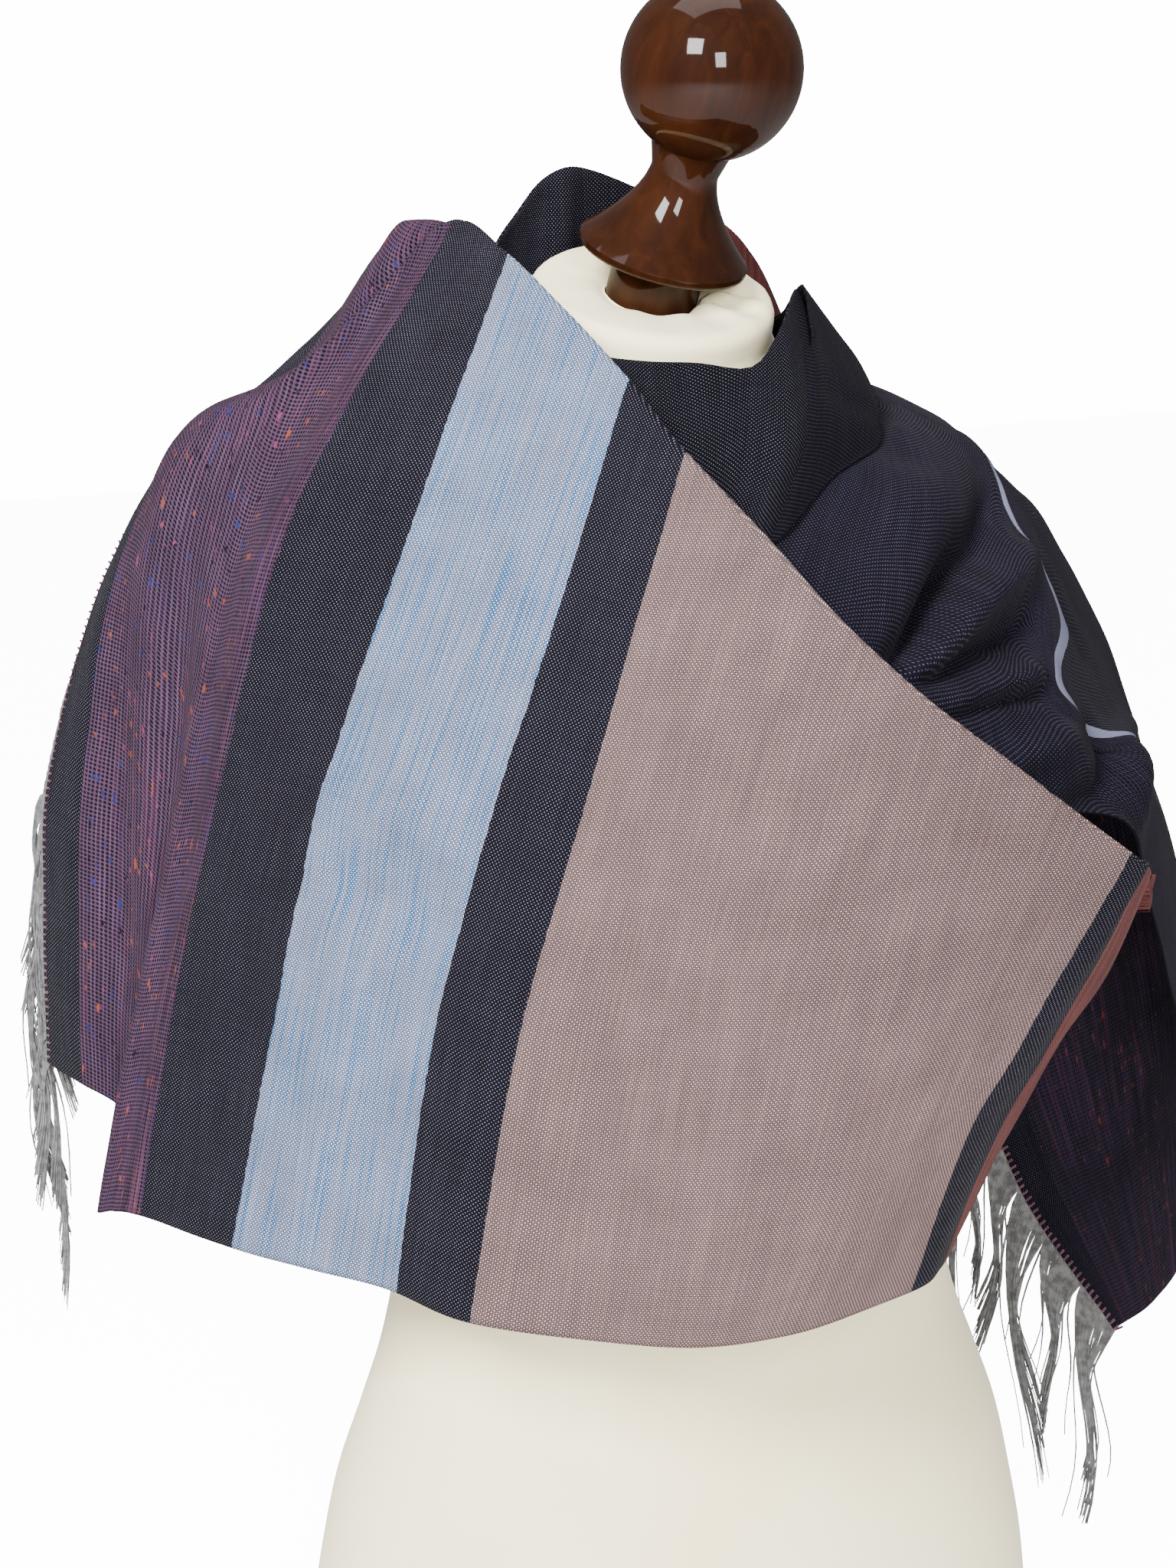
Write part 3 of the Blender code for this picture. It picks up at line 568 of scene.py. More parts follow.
backWrap = {
    "thickness": 1.2, "columns": 150, "rows": 100,
    "sections": (
        # name, hem, waist, chest, shoulder, top
        ("side", (151, 29, 250), (159, 31, 303), (166, 33, 350), (173, 34, 395), (178, 35, 440)),
        ("blade side", (143, 64, 249), (152, 66, 315), (158, 68, 385), (160, 66, 450), (150, 62, 510)),
        ("left blade", (126, 96, 248), (135, 98, 330), (140, 98, 415), (132, 84, 508), (99, 62, 626)),
        ("rust", (78, 134, 246), (82, 127, 345), (82, 115, 445), (76, 82, 563), (63, 47, 680)),
        ("centre left", (32, 154, 245), (34, 143, 348), (34, 126, 455), (32, 86, 576), (30, 74, 700)),
        ("centre", (-12, 160, 244), (-10, 148, 350), (-9, 130, 460), (-9, 86, 580), (-9, 82, 713)),
        ("centre right", (-62, 157, 244), (-62, 146, 350), (-58, 127, 460), (-48, 84, 578), (-37, 76, 690)),
        ("right blade", (-130, 132, 246), (-128, 122, 350), (-122, 108, 455), (-104, 74, 564), (-64, 56, 660)),
        ("right side", (-180, 88, 250), (-176, 82, 350), (-168, 74, 445), (-148, 54, 550), (-84, 36, 642)),
        ("right flank", (-208, 40, 252), (-200, 38, 350), (-186, 36, 450), (-171, 30, 565), (-98, 18, 641)),
        ("under panel", (-210, -8, 256), (-194, -10, 352), (-176, -12, 448), (-167, -9, 550), (-110, -6, 613)),
    ),
    "folds": (
        (((5.0, 4.0), (5.15, 3.3), (5.4, 2.2)), 7, -9.0),
        (((4.3, 3.9), (4.0, 2.8), (3.9, 1.6)), 14, 3.0),
        (((6.1, 3.9), (6.5, 2.8), (6.9, 1.6)), 14, 3.5),
        (((3.2, 3.6), (2.9, 2.4), (2.8, 1.0)), 13, -3.0),
        (((7.2, 3.6), (7.6, 2.4), (7.9, 1.0)), 13, -3.0),
        (((5.6, 0.0), (5.8, 1.0), (6.0, 2.0)), 20, 3.0),
        (((4.5, 0.0), (4.5, 0.9), (4.6, 1.9)), 18, -2.5),
        (((2.2, 0.0), (2.3, 1.0), (2.6, 2.2)), 16, 2.5),
        (((8.3, 0.0), (8.3, 1.0), (8.4, 2.4)), 16, 2.5),
        (((3.4, 2.4), (5.0, 2.1), (6.6, 2.5)), 15, -2.0),
    ),
    "waves": ((130, 1.0, 8), (42, 0.35, 9)),
    "bands": ((0.0, "rust"), (3.4, "navy"), (10.0, "navy")),
}

neckWrap = {
    "thickness": 1.1, "columns": 90, "rows": 44,
    "sections": (
        # name, low, middle, upper, top
        ("right side", (-122, -8, 602), (-95, 2, 615), (-74, 10, 630), (-58, 12, 646)),
        ("right front", (-106, -60, 570), (-87, -45, 599), (-68, -30, 622), (-54, -18, 644)),
        ("front start", (-84, -92, 550), (-70, -74, 586), (-57, -56, 615), (-46, -40, 639)),
        ("front", (-56, -108, 542), (-44, -98, 571), (-34, -80, 604), (-25, -52, 636)),
        ("front middle", (-38, -110, 545), (-26, -102, 569), (-16, -88, 602), (-6, -60, 635)),
        ("front end", (-24, -111, 552), (-10, -103, 574), (2, -91, 602), (18, -66, 632)),
        ("turn", (-14, -121, 552), (3, -110, 578), (20, -96, 606), (34, -60, 649)),
        ("tuck", (6, -112, 566), (24, -98, 588), (40, -79, 613), (48, -41, 659)),
        ("left side", (66, -69, 594), (70, -57, 610), (69, -41, 629), (59, -22, 660)),
        ("left back", (82, -30, 617), (80, -22, 627), (74, -10, 638), (66, 3, 648)),
        ("behind", (86, 16, 619), (82, 21, 626), (76, 25, 634), (70, 26, 641)),
    ),
    "waves": ((70, 0.5, 11),),
    "bands": ((0.0, "navy"), (10.0, "navy")),
}

collarFold = {
    "thickness": 1.1, "columns": 110, "rows": 48,
    "sections": (
        # name, bottom, middle, upper, top
        ("turn", (-14, -115, 552), (4, -104, 578), (19, -91, 604), (42, -62, 636)),
        ("throat", (8, -114, 566), (23, -101, 589), (38, -84, 612), (50, -58, 641)),
        ("face", (40, -93, 584), (50, -82, 602), (56, -66, 624), (55, -44, 651)),
        ("corner", (76, -70, 596), (80, -58, 611), (78, -42, 629), (61, -24, 662)),
        ("shoulder", (88, -30, 620), (86, -22, 630), (80, -10, 641), (69, 4, 653)),
        ("back", (92, 16, 621), (88, 22, 628), (82, 26, 636), (74, 27, 644)),
        ("nape", (87, 54, 619), (84, 56, 625), (78, 57, 631), (72, 54, 638)),
    ),
    "folds": (
        (((1.0, 2.4), (2.2, 1.6), (2.9, 0.9)), 7, -1.5),
    ),
    "waves": ((60, 0.6, 13),),
    # painted shade: the collar's navy is the darker copy, for cloth in shade
    "bands": ((0.0, "navyShaded"), (6.0, "navyShaded")),
}

leftDrape = {
    "thickness": 1.2, "columns": 200, "rows": 170, "measureLevel": 0.5,
    "sections": (
        # name, low, elbow, arm, shoulder, top, neck
        ("tucked edge", (-38, -134, 532), (-8, -121, 555), (18, -102, 574),
         (44, -80, 592), (60, -48, 608), (70, -26, 615)),
        ("first", (10, -150, 506), (26, -140, 530), (42, -117, 556),
         (64, -92, 582), (78, -54, 602), (78, -20, 614)),
        ("second", (52, -162, 472), (58, -150, 505), (72, -124, 543),
         (88, -96, 574), (98, -56, 596), (84, -13, 613)),
        ("third", (100, -156, 444), (94, -148, 478), (98, -126, 520),
         (112, -98, 558), (118, -52, 594), (82, -4, 618)),
        ("over edge", (160, -138, 432), (146, -138, 456), (122, -128, 500),
         (130, -100, 546), (130, -48, 588), (82, 3, 617)),
        ("lavender", (198, -106, 372), (180, -122, 445), (138, -128, 490),
         (146, -98, 538), (138, -44, 581), (81, 10, 618)),
        ("outer", (246, -70, 262), (230, -76, 380), (201, -74, 463),
         (171, -60, 531), (150, -30, 578), (80, 18, 619)),
        ("edge line", (254, -52, 185), (243, -50, 330), (216, -44, 438),
         (182, -32, 530), (150, -8, 585), (80, 28, 621)),
        ("arm back", (248, -34, 150), (238, 8, 290), (217, 14, 410),
         (184, 16, 524), (146, 22, 591), (84, 44, 622)),
        ("end", (236, -16, 130), (208, 34, 196), (190, 78, 300),
         (170, 92, 430), (138, 80, 550), (97, 75, 610)),
    ),
    "folds": (
        # the dark creases that run down from the arm to the front edge, and the rounded folds between them
        (((3.5, 3.4), (3.0, 2.95), (2.6, 2.6), (2.25, 2.05), (1.9, 1.45), (1.5, 0.8)), 7.5, -19),
        (((2.6, 2.5), (2.2, 2.0), (1.9, 1.5), (1.5, 0.7)), 3.4, -8),
        (((2.9, 4.2), (2.0, 3.2), (1.5, 2.3), (1.1, 1.3)), 17, 5),
        (((4.3, 3.1), (3.5, 2.65), (2.8, 2.15), (2.3, 1.6), (1.8, 0.95)), 7.5, 15),
        (((4.3, 2.5), (3.4, 2.1), (2.7, 1.65), (2.1, 1.1), (1.6, 0.7)), 4.2, -12),
        (((4.5, 2.1), (3.6, 1.8), (2.9, 1.35), (2.3, 0.85)), 6, 9),
        (((3.9, 1.75), (3.2, 1.45), (2.6, 1.05), (2.1, 0.55)), 3.6, -11),
        (((4.3, 1.5), (3.7, 1.2), (3.1, 0.75), (2.7, 0.3)), 8, 7),
        (((5.0, 1.7), (4.6, 1.2), (4.1, 0.7), (3.5, 0.1)), 9, -11),
        (((5.9, 1.9), (5.3, 1.5), (4.9, 1.0), (4.5, 0.3)), 8, 8),
        (((4.2, 3.8), (4.7, 3.3), (5.3, 2.8), (5.6, 2.3)), 9, -5),
        (((3.7, 4.1), (4.2, 3.7), (4.9, 3.2)), 9, 5),
        (((5.4, 3.6), (6.1, 3.0), (6.7, 2.3), (6.9, 1.2)), 11, 6),
        (((6.6, 3.7), (7.2, 2.9), (7.5, 1.8), (7.5, 0.8)), 10, -6),
        (((7.8, 3.9), (8.2, 3.0), (8.3, 1.8)), 11, 5),
        (((1.0, 3.9), (1.8, 3.5), (2.8, 4.0)), 12, -3),
    ),
    # row on which the pale line runs, by level
    "line": ((0.0, 5.5), (0.9, 5.5), (1.4, 5.55), (1.65, 5.1), (2.0, 4.7), (2.25, 4.85), (2.55, 5.25),
             (2.9, 4.85), (3.5, 3.95), (3.8, 3.75), (5.0, 3.6)),
    "lineRow": 5, "lineSpread": 2.2, "lineEnd": 1.3,
    "waves": ((110, 1.2, 17), (38, 0.45, 19)),
    # painted shade: the drape's navy and purple are the darker copies, for cloth in shade
    "bands": ((0.0, "navyShaded"), (4.87, "lavender"), (5.12, "navyShaded"), (6.6, "purpleBackShaded"), (8.72, "navyShaded"),
              (9.0, "navyShaded")),
}

addTurnOver(outerWrap)

# dress form
formBody = {
    "segments": 176,
    "rings": 70,
    "torso": (
        # height, half width, half depth, centre y
        (0, 184, 124, 2), (45, 180, 121, 2), (80, 174, 116, 2), (115, 166, 110, 1), (148, 154, 102, 0),
        (182, 142, 95, 0), (225, 134, 91, -2), (270, 135, 93, -5), (330, 142, 103, -9), (390, 149, 112, -11),
        (440, 154, 110, -9), (490, 160, 101, -3), (535, 164, 88, 4), (565, 160, 74, 9), (585, 138, 61, 11),
        (598, 108, 55, 11), (609, 84, 53, 9), (620, 65, 52, 6),
    ),
    "neckTop": (0, 0, 662), "neckRadius": 55, "neckWall": 16, "neckRound": 7, "neckLean": 20, "sideLean": 8,
    "socketRadius": 20.9, "socketDepth": 26.4, "dimple": 8,
    "gathers": (
        # angle round the neck, width in degrees, height: pleats of the cover drawn into the socket
        (36, 7, 3.4), (50, 5, -3.6), (60, 6, 4.2), (73, 5, -3.8), (85, 6, 3.4), (98, 6, -2.4), (112, 7, 1.4),
        (20, 8, -0.8), (4, 9, 0.5), (-16, 9, -0.6), (-38, 8, 0.6), (-64, 9, -0.7), (-92, 8, 0.7),
        (-124, 9, -0.8), (-155, 8, 0.8), (176, 8, -0.8), (146, 7, 0.9),
    ),
}


def neckTurn():
    return Matrix.Rotation(math.radians(formBody["neckLean"]), 3, "X")


def finialTurn():
    return neckTurn() @ Matrix.Rotation(math.radians(formBody["sideLean"]), 3, "Y")


def makeForm(spec):
    rows = [Vector(row) for row in spec["torso"]]
    top = Vector(spec["neckTop"])
    rings = []                       # each ring: place of a point from its angle
    for k in range(spec["rings"] + 1):
        z, halfWidth, halfDepth, centre = curvePoint(rows, k / spec["rings"])
        rings.append(lambda a, z=z, w=halfWidth, d=halfDepth, c=centre:
                     Vector((w * math.sin(a), c - d * math.cos(a), z)))

    def pleats(a, share):
        lift = 0.0
        for at, width, height in spec["gathers"]:
            off = (math.degrees(a) - at + 180) % 360 - 180
            lift += height * math.exp(-(off / width) ** 2)
        return lift * share

    def neckRing(radius, drop, share, turn=neckTurn()):
        def place(a):
            lift = pleats(a, share)
            return top + turn @ Vector((radius * math.sin(a), -radius * math.cos(a), lift - drop))
        return place
    lower, upper = rings[-1], neckRing(spec["neckRadius"], spec["neckWall"], 0)
    for share in (0.33, 0.66):
        rings.append(lambda a, s=share: lower(a).lerp(upper(a), s))
    for drop in (16, 13, 10, 7.5):
        rings.append(neckRing(spec["neckRadius"], drop, 0.0))
    for degrees in (15, 30, 45, 60, 75, 90):
        t = math.radians(degrees)
        radius = spec["neckRadius"] - spec["neckRound"] * (1 - math.cos(t))
        rings.append(neckRing(radius, spec["neckRound"] * (1 - math.sin(t)), 0.05 + 0.15 * degrees / 90))
    socket = spec["socketRadius"]
    for share in (0.2, 0.4, 0.6, 0.8, 0.95):
        radius = (spec["neckRadius"] - spec["neckRound"]) * (1 - share) + (socket + spec["dimple"]) * share
        rings.append(neckRing(radius, 0.6 * share, 0.3 + 0.7 * share))
    for share in (0.3, 0.6, 0.9):
        radius = socket + 0.3 + spec["dimple"] * (1 - share)
        rings.append(neckRing(radius, 0.6 + 4 * share ** 2, 1 - 0.5 * share))
    rings.append(neckRing(socket, 6, 0.2, finialTurn()))
    rings.append(neckRing(socket, spec["socketDepth"], 0, finialTurn()))
    bm = bmesh.new()
    loops = []
    for ring in rings:
        verts = bmesh.ops.create_circle(bm, segments=spec["segments"], radius=1, cap_ends=False)["verts"]
        for v in verts:
            v.co = ring(math.atan2(v.co.x, -v.co.y))
        loops.append(list({edge for v in verts for edge in v.link_edges}))
    for low, high in zip(loops, loops[1:]):
        bmesh.ops.bridge_loops(bm, edges=low + high)
    bmesh.ops.holes_fill(bm, edges=loops[0] + loops[-1], sides=spec["segments"])
    bmesh.ops.recalc_face_normals(bm, faces=bm.faces)
    tree = BVHTree.FromBMesh(bm)
    return finish(bm, "form", 40), tree


def finish(bm, name, sharp=40):
    # object in metres from a mesh in millimetres
    bmesh.ops.scale(bm, vec=(mm, mm, mm), verts=bm.verts)
    mesh = bpy.data.meshes.new(name)
    bm.to_mesh(mesh)
    bm.free()
    mesh.shade_smooth()
    mesh.set_sharp_from_angle(angle=math.radians(sharp))
    made = bpy.data.objects.new(name, mesh)
    bpy.context.collection.objects.link(made)
    return made


form, formTree = makeForm(formBody)
print("form made:", len(form.data.polygons), "faces")

print("laying the cloth")
neck, neckTree = makeSheet("neckWrap", neckWrap, [formTree])
back, backTree = makeSheet("backWrap", backWrap, [formTree])
drape, drapeTree = makeSheet("leftDrape", leftDrape, [formTree, backTree])
collar = makeSheet("collarFold", collarFold, [drapeTree])[0]
outer = makeSheet("outerWrap", outerWrap, [formTree, backTree, neckTree, drapeTree])[0]

# the third value is painted light and shade: the back, neck and collar painted darker as if in shade, the drape
# lighter
for sheet, spec, paintedShadeTone, sheen in (
        (outer, outerWrap, 1.0, 0.015), (back, backWrap, 0.75, 0.01), (neck, neckWrap, 0.60, 0.008),
        (drape, leftDrape, 1.2, 0.01), (collar, collarFold, 0.70, 0.01)):
    last = len(spec["sections"]) - 1
    sheet.data.materials.append(clothMaterial(sheet.name + "Cloth", spec["bands"], last, paintedShadeTone, sheen))

# finial
finialSpec = {
    "segments": 112,
    "plugRadius": 20.5, "plugDepth": 26, "plugShown": 15,
    "bellRadius": 38, "bellRim": 4, "bellSteps": 22,
    "waistRadius": 15, "waistHeight": 41,
    "ballRadius": 39.5, "ballHeight": 87, "ballSteps": 40,
}


def makeFinial(spec):
    shown, bell, waist = spec["plugShown"], spec["bellRadius"], spec["waistRadius"]
    plug, deep = spec["plugRadius"], spec["plugDepth"]
    profile = [(0, -deep), (plug - 1, -deep), (plug, 1 - deep), (plug, shown - 1), (plug + 0.6, shown - 0.2),
               (bell - 4, shown - 0.2), (bell - 1.2, shown + 0.2), (bell - 0.3, shown + 1.0),
               (bell, shown + 2.0)]
    for k in range(spec["bellSteps"] + 1):
        rise = k / spec["bellSteps"]
        radius = waist + (bell - waist) * (1 - rise) ** 1.7
        profile.append((radius, shown + spec["bellRim"] + (spec["waistHeight"] - spec["bellRim"]) * rise))
    ball = spec["ballRadius"]
    join = math.asin((waist + 3) / ball)
    for k in range(spec["ballSteps"]):
        a = join + (math.pi - join) * k / spec["ballSteps"]
        profile.append((ball * math.sin(a), shown + spec["ballHeight"] - ball * math.cos(a)))
    profile.append((0, shown + spec["ballHeight"] + ball))
    bm = bmesh.new()
    verts = [bm.verts.new((x, 0, z)) for x, z in profile]
    edges = [bm.edges.new(pair) for pair in zip(verts, verts[1:])]
    bmesh.ops.spin(bm, geom=verts + edges, cent=(0, 0, 0), axis=(0, 0, 1), angle=2 * math.pi,
                   steps=spec["segments"], use_merge=True)
    bmesh.ops.remove_doubles(bm, verts=bm.verts, dist=0.01)
    bmesh.ops.recalc_face_normals(bm, faces=bm.faces)
    bmesh.ops.rotate(bm, verts=bm.verts, cent=(0, 0, 0), matrix=finialTurn())
    bmesh.ops.translate(bm, verts=bm.verts, vec=formBody["neckTop"])
    return finish(bm, "finial", 35)


finialPiece = makeFinial(finialSpec)

# fringes and stitches
fringeSpec = {
    "clumps": 15, "yarnsPerClump": 34, "yarnWidth": 0.66, "sides": 4, "steps": 11,
    "length": 112, "lengthSpread": 26, "out": 13, "gather": 0.92, "stray": 0.07,
    "drift": 7, "ownWay": 1.7, "strayWay": 9, "wave": 4.6,
}
stitchSpec = {"pitch": 3.5, "length": 4.6, "width": 0.62, "height": 1.35, "slant": 1.6, "sides": 6, "steps": 6}


def tube(bm, points, radii, sides):
    # closed round yarn along the points
    rings = []
    for k, (point, radius) in enumerate(zip(points, radii)):
        ahead = points[min(k + 1, len(points) - 1)] - points[max(k - 1, 0)]
        turn = ahead.to_track_quat("Z", "Y").to_matrix()
        capped = k in (0, len(points) - 1)
        verts = bmesh.ops.create_circle(bm, segments=sides, radius=radius, cap_ends=capped)["verts"]
        for v in verts:
            v.co = point + turn @ v.co
        rings.append(list({edge for v in verts for edge in v.link_edges}))
    for low, high in zip(rings, rings[1:]):
        bmesh.ops.bridge_loops(bm, edges=low + high)


def joinInto(whole, bm):
    # adds one small mesh to the whole and frees it
    spare = bpy.data.meshes.new("spare")
    bm.to_mesh(spare)
    bm.free()
    whole.from_mesh(spare)
    bpy.data.meshes.remove(spare)


def edgePlaces(line, share, count):
    places = evenPlaces(line, 400)
    return [float(np.interp(share * k / (count - 1), np.linspace(0, 1, 401), places)) for k in range(count)]


def makeFringe(name, edge, inner, share, spec, seed, reachShare=1.0, longOnes=()):
    # loose warp yarns that hang in clumps, a few of them straying
    rnd = random.Random(seed)
    whole = bmesh.new()
    roots = edgePlaces(edge, share, spec["clumps"] * spec["yarnsPerClump"])
    for clump in range(spec["clumps"]):
        bm = bmesh.new()
        mine = roots[clump * spec["yarnsPerClump"]:(clump + 1) * spec["yarnsPerClump"]]
        heart = curvePoint(edge, sum(mine) / len(mine))
        length = (spec["length"] + rnd.uniform(-1, 1) * spec["lengthSpread"]) * dict(longOnes).get(clump, 1.0)
        drift = Vector((rnd.uniform(-1, 1), rnd.uniform(-1, 1), 0)) * spec["drift"]
        reach = spec["out"] * reachShare * rnd.uniform(0.55, 1.4)
        phase = rnd.uniform(0, 6.3)
        for place in mine:
            root = curvePoint(edge, place)
            way = (curvePoint(edge, min(place + 0.02, 1)) - curvePoint(edge, max(place - 0.02, 0))).normalized()
            outward = root - curvePoint(inner, place)
            outward = (outward - way * outward.dot(way)).normalized()
            stray = rnd.random() < spec["stray"]
            gather = spec["gather"] * (0.2 if stray else 1) * rnd.uniform(0.85, 1.1)
            own = Vector((rnd.uniform(-1, 1), rnd.uniform(-1, 1), 0)) * spec["strayWay" if stray else "ownWay"]
            mineLength = length * rnd.uniform(0.72, 1.04)
            points = []
            for k in range(spec["steps"] + 1):
                t = k / spec["steps"]
                close = gather * (1 - math.cos(math.pi * min(t * 1.6, 1))) / 2
                swing = outward * (reach * (1 - math.exp(-4 * t)) * (1 - 0.45 * t))
                point = root.lerp(heart, close) + swing + drift * t * t + own * t ** 1.6
                point += Vector((math.sin(phase + t * 6), math.cos(phase * 1.7 + t * 5), 0)) * spec["wave"] * t
                point.z -= mineLength * t ** 1.3 + 2 * math.sin(t * 9 + place * 60) * t
                points.append(point)
            radii = [spec["yarnWidth"] * (1.0 - 0.5 * k / spec["steps"]) for k in range(spec["steps"] + 1)]
            tube(bm, points, radii, spec["sides"])
        joinInto(whole, bm)
    bmesh.ops.recalc_face_normals(whole, faces=whole.faces)
    return finish(whole, name, 80)


def makeStitches(name, edge, inner, spec, seed):
    # slanted overcast stitches round the cloth's end
    rnd = random.Random(seed)
    bm = bmesh.new()
    total = sum((curvePoint(edge, (k + 1) / 60) - curvePoint(edge, k / 60)).length for k in range(60))
    for place in edgePlaces(edge, 1.0, int(total / spec["pitch"])):
        root = curvePoint(edge, place)
        way = (curvePoint(edge, min(place + 0.01, 1)) - curvePoint(edge, max(place - 0.01, 0))).normalized()
        inward = curvePoint(inner, place) - root
        inward = (inward - way * inward.dot(way)).normalized()
        over = way.cross(inward).normalized()
        points = []
        reach = spec["length"] * rnd.uniform(0.85, 1.15)
        for k in range(spec["steps"] + 1):
            a = math.pi * (k / spec["steps"] * 1.24 - 0.12)
            point = root + inward * (reach * (0.5 - 0.62 * math.sin(a)) + 0.6)
            points.append(point + over * (math.cos(a) * spec["height"])
                          + way * (k / spec["steps"] - 0.5) * spec["slant"])
        tube(bm, points, [spec["width"]] * len(points), spec["sides"])
    bmesh.ops.recalc_face_normals(bm, faces=bm.faces)
    return finish(bm, name, 80)


wrapLines, drapeLines = sectionLines(outerWrap), sectionLines(leftDrape)
wrapEnd, wrapInner = wrapLines["end"][:5], wrapLines["end stripe"][:5]
drapeEnd, drapeInner = drapeLines["end"], drapeLines["arm back"]
fringeFirst = makeFringe("fringeFirst", wrapEnd, wrapInner, 0.64, fringeSpec, 23, 1.5)
fringeSecond = makeFringe("fringeSecond", drapeEnd, drapeInner, 0.80, fringeSpec, 29,
                          longOnes=((2, 1.25), (5, 1.5)))
stitchesFirst = makeStitches("stitchesFirst", wrapEnd, wrapInner, stitchSpec, 5)
stitchesSecond = makeStitches("stitchesSecond", drapeEnd, drapeInner, stitchSpec, 6)
print("fringes and stitches made")


# other materials
yarnLook = {"Roughness": 0.9, "Specular IOR Level": 0.2, "Sheen Weight": 0.2}


def yarnMaterial(name, dark, light):
    made, n, shader = newMaterial(name)
    place = n.add("ShaderNodeTexCoord").outputs["Object"]
    shade = n.noise(place, 260, 2)
    n.join(n.mix(n.soft(shade, 0.3, 0.7), dark, light), shader.inputs["Base Color"])
    n.fill(shader, yarnLook)
    n.join(n.bump(n.noise(place, 2200, 1), 0.5, 0.0002), shader.inputs["Normal"])
    return made


jerseyLook = {
    "dark": (0.85, 0.745, 0.455, 1), "light": (0.90, 0.81, 0.53, 1),
    "shader": {"Roughness": 0.88, "Specular IOR Level": 0.2, "Sheen Weight": 0.25},
}


def jerseyMaterial():
    made, n, shader = newMaterial("creamJersey")
    place = n.add("ShaderNodeTexCoord").outputs["Object"]
    cloud = n.noise(place, 9, 3)
    n.join(n.mix(n.soft(cloud, 0.3, 0.7), jerseyLook["dark"], jerseyLook["light"]), shader.inputs["Base Color"])
    n.fill(shader, jerseyLook["shader"])
    knit = n.noise(n.scaled(place, 1500, 1500, 500), 1, 1)
    unevenBump = n.add("ShaderNodeBump")
    n.fill(unevenBump, {"Strength": 0.1, "Distance": 0.003, "Height": cloud})
    knitBump = n.add("ShaderNodeBump")
    n.fill(knitBump, {"Strength": 0.35, "Distance": 0.0002, "Height": knit, "Normal": unevenBump.outputs[0]})
    n.join(knitBump.outputs[0], shader.inputs["Normal"])
    return made


woodLook = {
    "grain": [(0.25, (0.0075, 0.0018, 0.0006, 1)), (0.50, (0.0135, 0.0034, 0.0009, 1)),
              (0.75, (0.022, 0.0058, 0.0014, 1))],
    "glow": (0.045, 0.013, 0.003, 1),
    "shader": {"Roughness": 0.6, "Specular IOR Level": 0.02, "Coat Weight": 0.28, "Coat Roughness": 0.05},
}


def woodMaterial():
    made, n, shader = newMaterial("varnishedWood")
    place = n.add("ShaderNodeTexCoord").outputs["Object"]
    turned = n.fill(n.add("ShaderNodeMapping"), {
        "Vector": place, "Location": (0.02, 0.24, -0.62),
        "Rotation": [math.radians(angle) for angle in (-20, -8, 35)]}).outputs[0]
    grain = n.noise(n.scaled(turned, 130, 130, 9), 1, 4, 0.6, 0.6)
    cloud = n.noise(turned, 14, 2)
    colour = n.ramp(grain, woodLook["grain"])
    colour = n.mix(n.soft(cloud, 0.35, 0.75), colour, n.mix(0.35, colour, woodLook["glow"]))
    n.join(colour, shader.inputs["Base Color"])
    n.fill(shader, woodLook["shader"])
    rings = n.noise(n.scaled(turned, 8, 8, 420), 1, 1)
    n.join(n.bump(rings, 0.12, 0.0004), shader.inputs["Normal"])
    return made


greyYarn = yarnMaterial("greyWarpYarn", (0.06, 0.06, 0.062, 1), (0.15, 0.15, 0.155, 1))
maroonYarn = yarnMaterial("maroonStitch", (0.045, 0.008, 0.02, 1), (0.10, 0.022, 0.05, 1))
form.data.materials.append(jerseyMaterial())
finialPiece.data.materials.append(woodMaterial())
for piece in (fringeFirst, fringeSecond):
    piece.data.materials.append(greyYarn)
for piece in (stitchesFirst, stitchesSecond):
    piece.data.materials.append(maroonYarn)

# the frame's nodes and slots
for piece, nodes, slot in (
        (outer, ("right_drop", "front_wrap", "side_return"), "shawl_front"),
        (back, ("back_wrap",), "shawl_navy"),
        (neck, ("neck_wrap",), "shawl_navy"),
        (collar, ("collar_fold",), "shawl_navy"),
        (drape, ("left_drape",), "shawl_purple"),
        (fringeFirst, ("fringe_first",), "fringe"),
        (fringeSecond, ("fringe_second",), "fringe"),
        (form, ("form_body",), "form_jersey"),
        (finialPiece, ("finial",), "finial_wood"),
        (stitchesFirst, (), "shawl_rust"),
        (stitchesSecond, (), "shawl_rust")):
    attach(piece, "root")
    if nodes:
        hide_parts(*nodes)

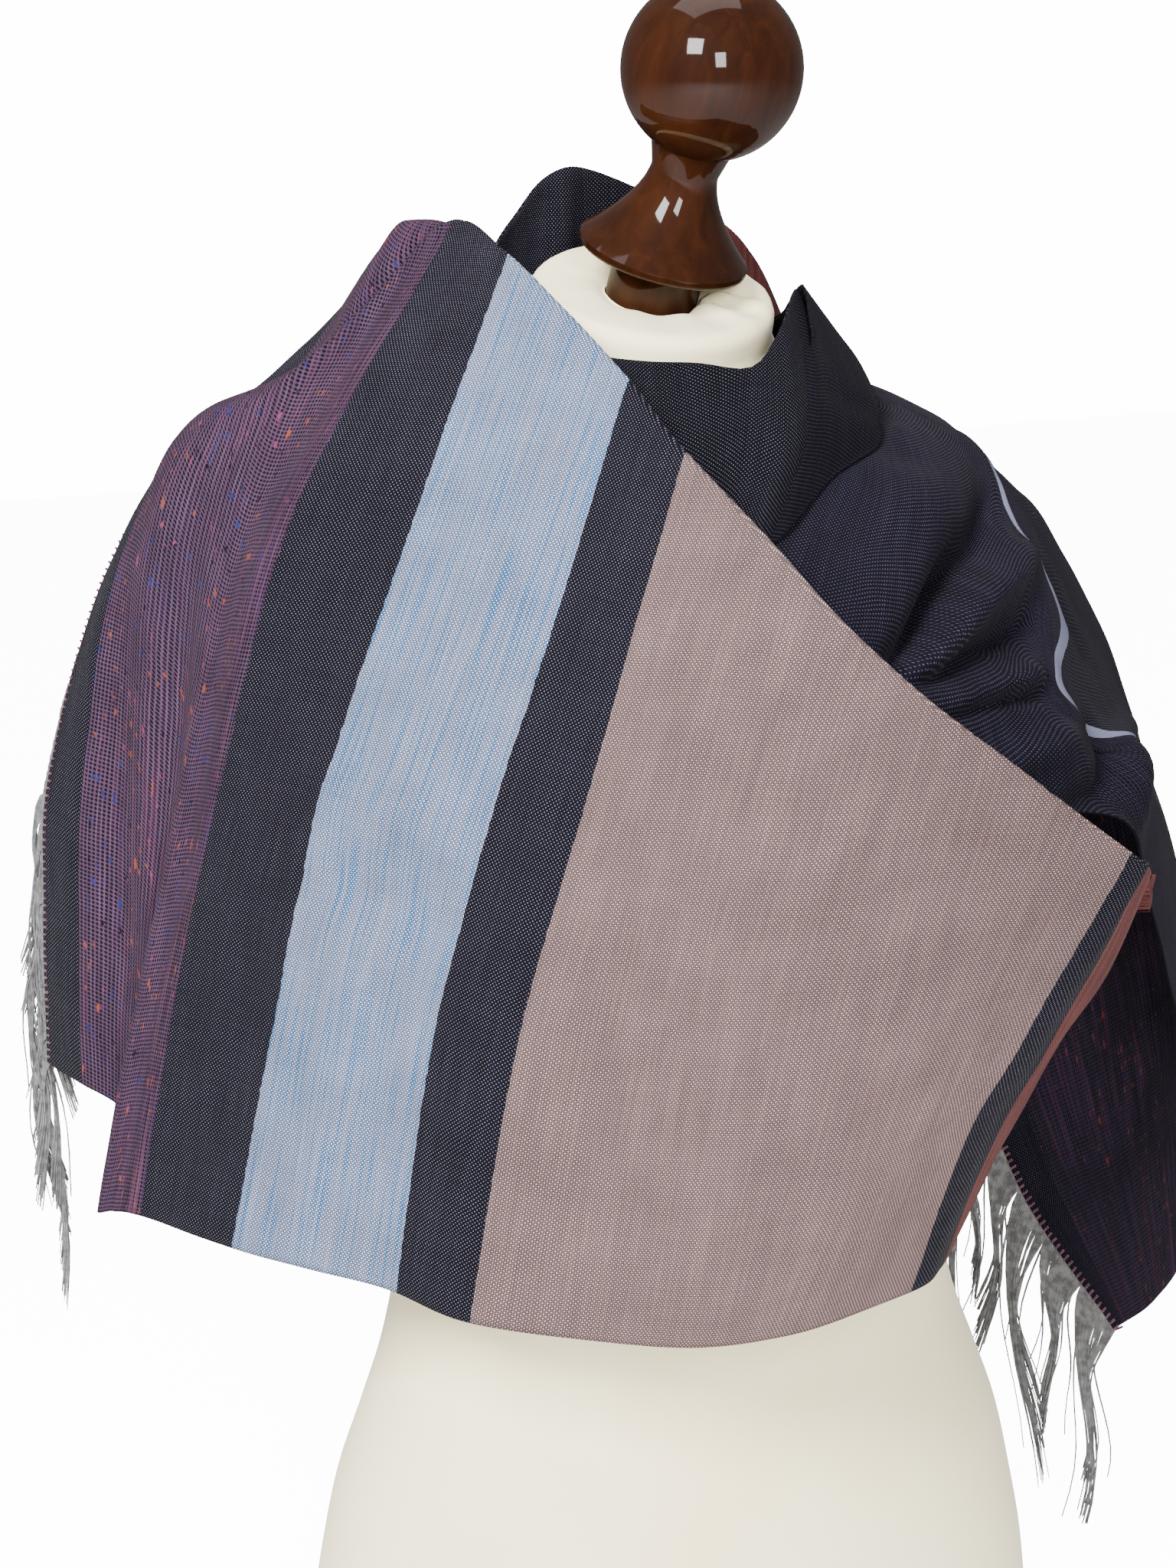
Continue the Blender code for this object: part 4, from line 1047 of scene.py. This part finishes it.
# studio
studio = {
    "cameraTurn": -22, "cameraPlace": (-0.034, -1.46, 0.7869), "cameraDown": 13.5, "cameraRoll": -1.3,
    "lens": 75,
    "ambient": 0.46, "backdrop": 15.0, "floorGlow": 12.6,
    "lamps": (
        # name, place, aim, width, height, power
        ("key", (-1.55, -1.5, 1.9), (0, 0, 0.45), 0.8, 0.8, 190),
        ("front", (-0.5, -2.2, 1.2), (0, 0, 0.4), 0.5, 0.7, 75),
        ("top", (0.0, 0.1, 2.2), (0, 0, 0.5), 1.4, 1.0, 28),
    ),
}
turn = Matrix.Rotation(math.radians(studio["cameraTurn"]), 4, "Z")
camera = bpy.data.objects.new("camera", bpy.data.cameras.new("camera"))
camera.data.lens = studio["lens"]
camera.data.sensor_fit = "VERTICAL"
camera.data.sensor_height = 36
camera.data.sensor_width = 27
bpy.context.collection.objects.link(camera)
tilt = Matrix.Rotation(math.radians(90 - studio["cameraDown"]), 4, "X")
roll = Matrix.Rotation(math.radians(studio["cameraRoll"]), 4, "Z")
camera.matrix_world = turn @ Matrix.Translation(studio["cameraPlace"]) @ tilt @ roll
bpy.context.scene.camera = camera

for name, place, aim, width, height, power in studio["lamps"]:
    lamp = bpy.data.lights.new(name, "AREA")
    lamp.shape = "RECTANGLE"
    lamp.size, lamp.size_y, lamp.energy = width, height, power
    lampObject = bpy.data.objects.new(name, lamp)
    bpy.context.collection.objects.link(lampObject)
    lampObject.location = place
    lampObject.rotation_euler = (Vector(aim) - Vector(place)).to_track_quat("-Z", "Y").to_euler()
world = bpy.data.worlds.new("studio")
bpy.context.scene.world = world
world.use_nodes = True
n = Nodes(world.node_tree)
seen = n.add("ShaderNodeLightPath").outputs["Is Camera Ray"]
sky = world.node_tree.nodes["Background"]
backdrop = n.calc("MULTIPLY", seen, studio["backdrop"] - studio["ambient"])
n.join(n.calc("ADD", studio["ambient"], backdrop), sky.inputs[1])
sky.inputs[0].default_value = (1, 1, 1, 1)

bm = bmesh.new()
bmesh.ops.create_grid(bm, x_segments=1, y_segments=1, size=4000)
floor = finish(bm, "floor")
floorMaterial, n, shader = newMaterial("paleFloor")
seen = n.add("ShaderNodeLightPath").outputs["Is Camera Ray"]
n.fill(shader, {"Base Color": (0.86, 0.86, 0.86, 1), "Roughness": 0.9, "Emission Color": (1, 1, 1, 1),
                "Emission Strength": n.calc("MULTIPLY", seen, studio["floorGlow"])})
floor.data.materials.append(floorMaterial)

print("studio set")
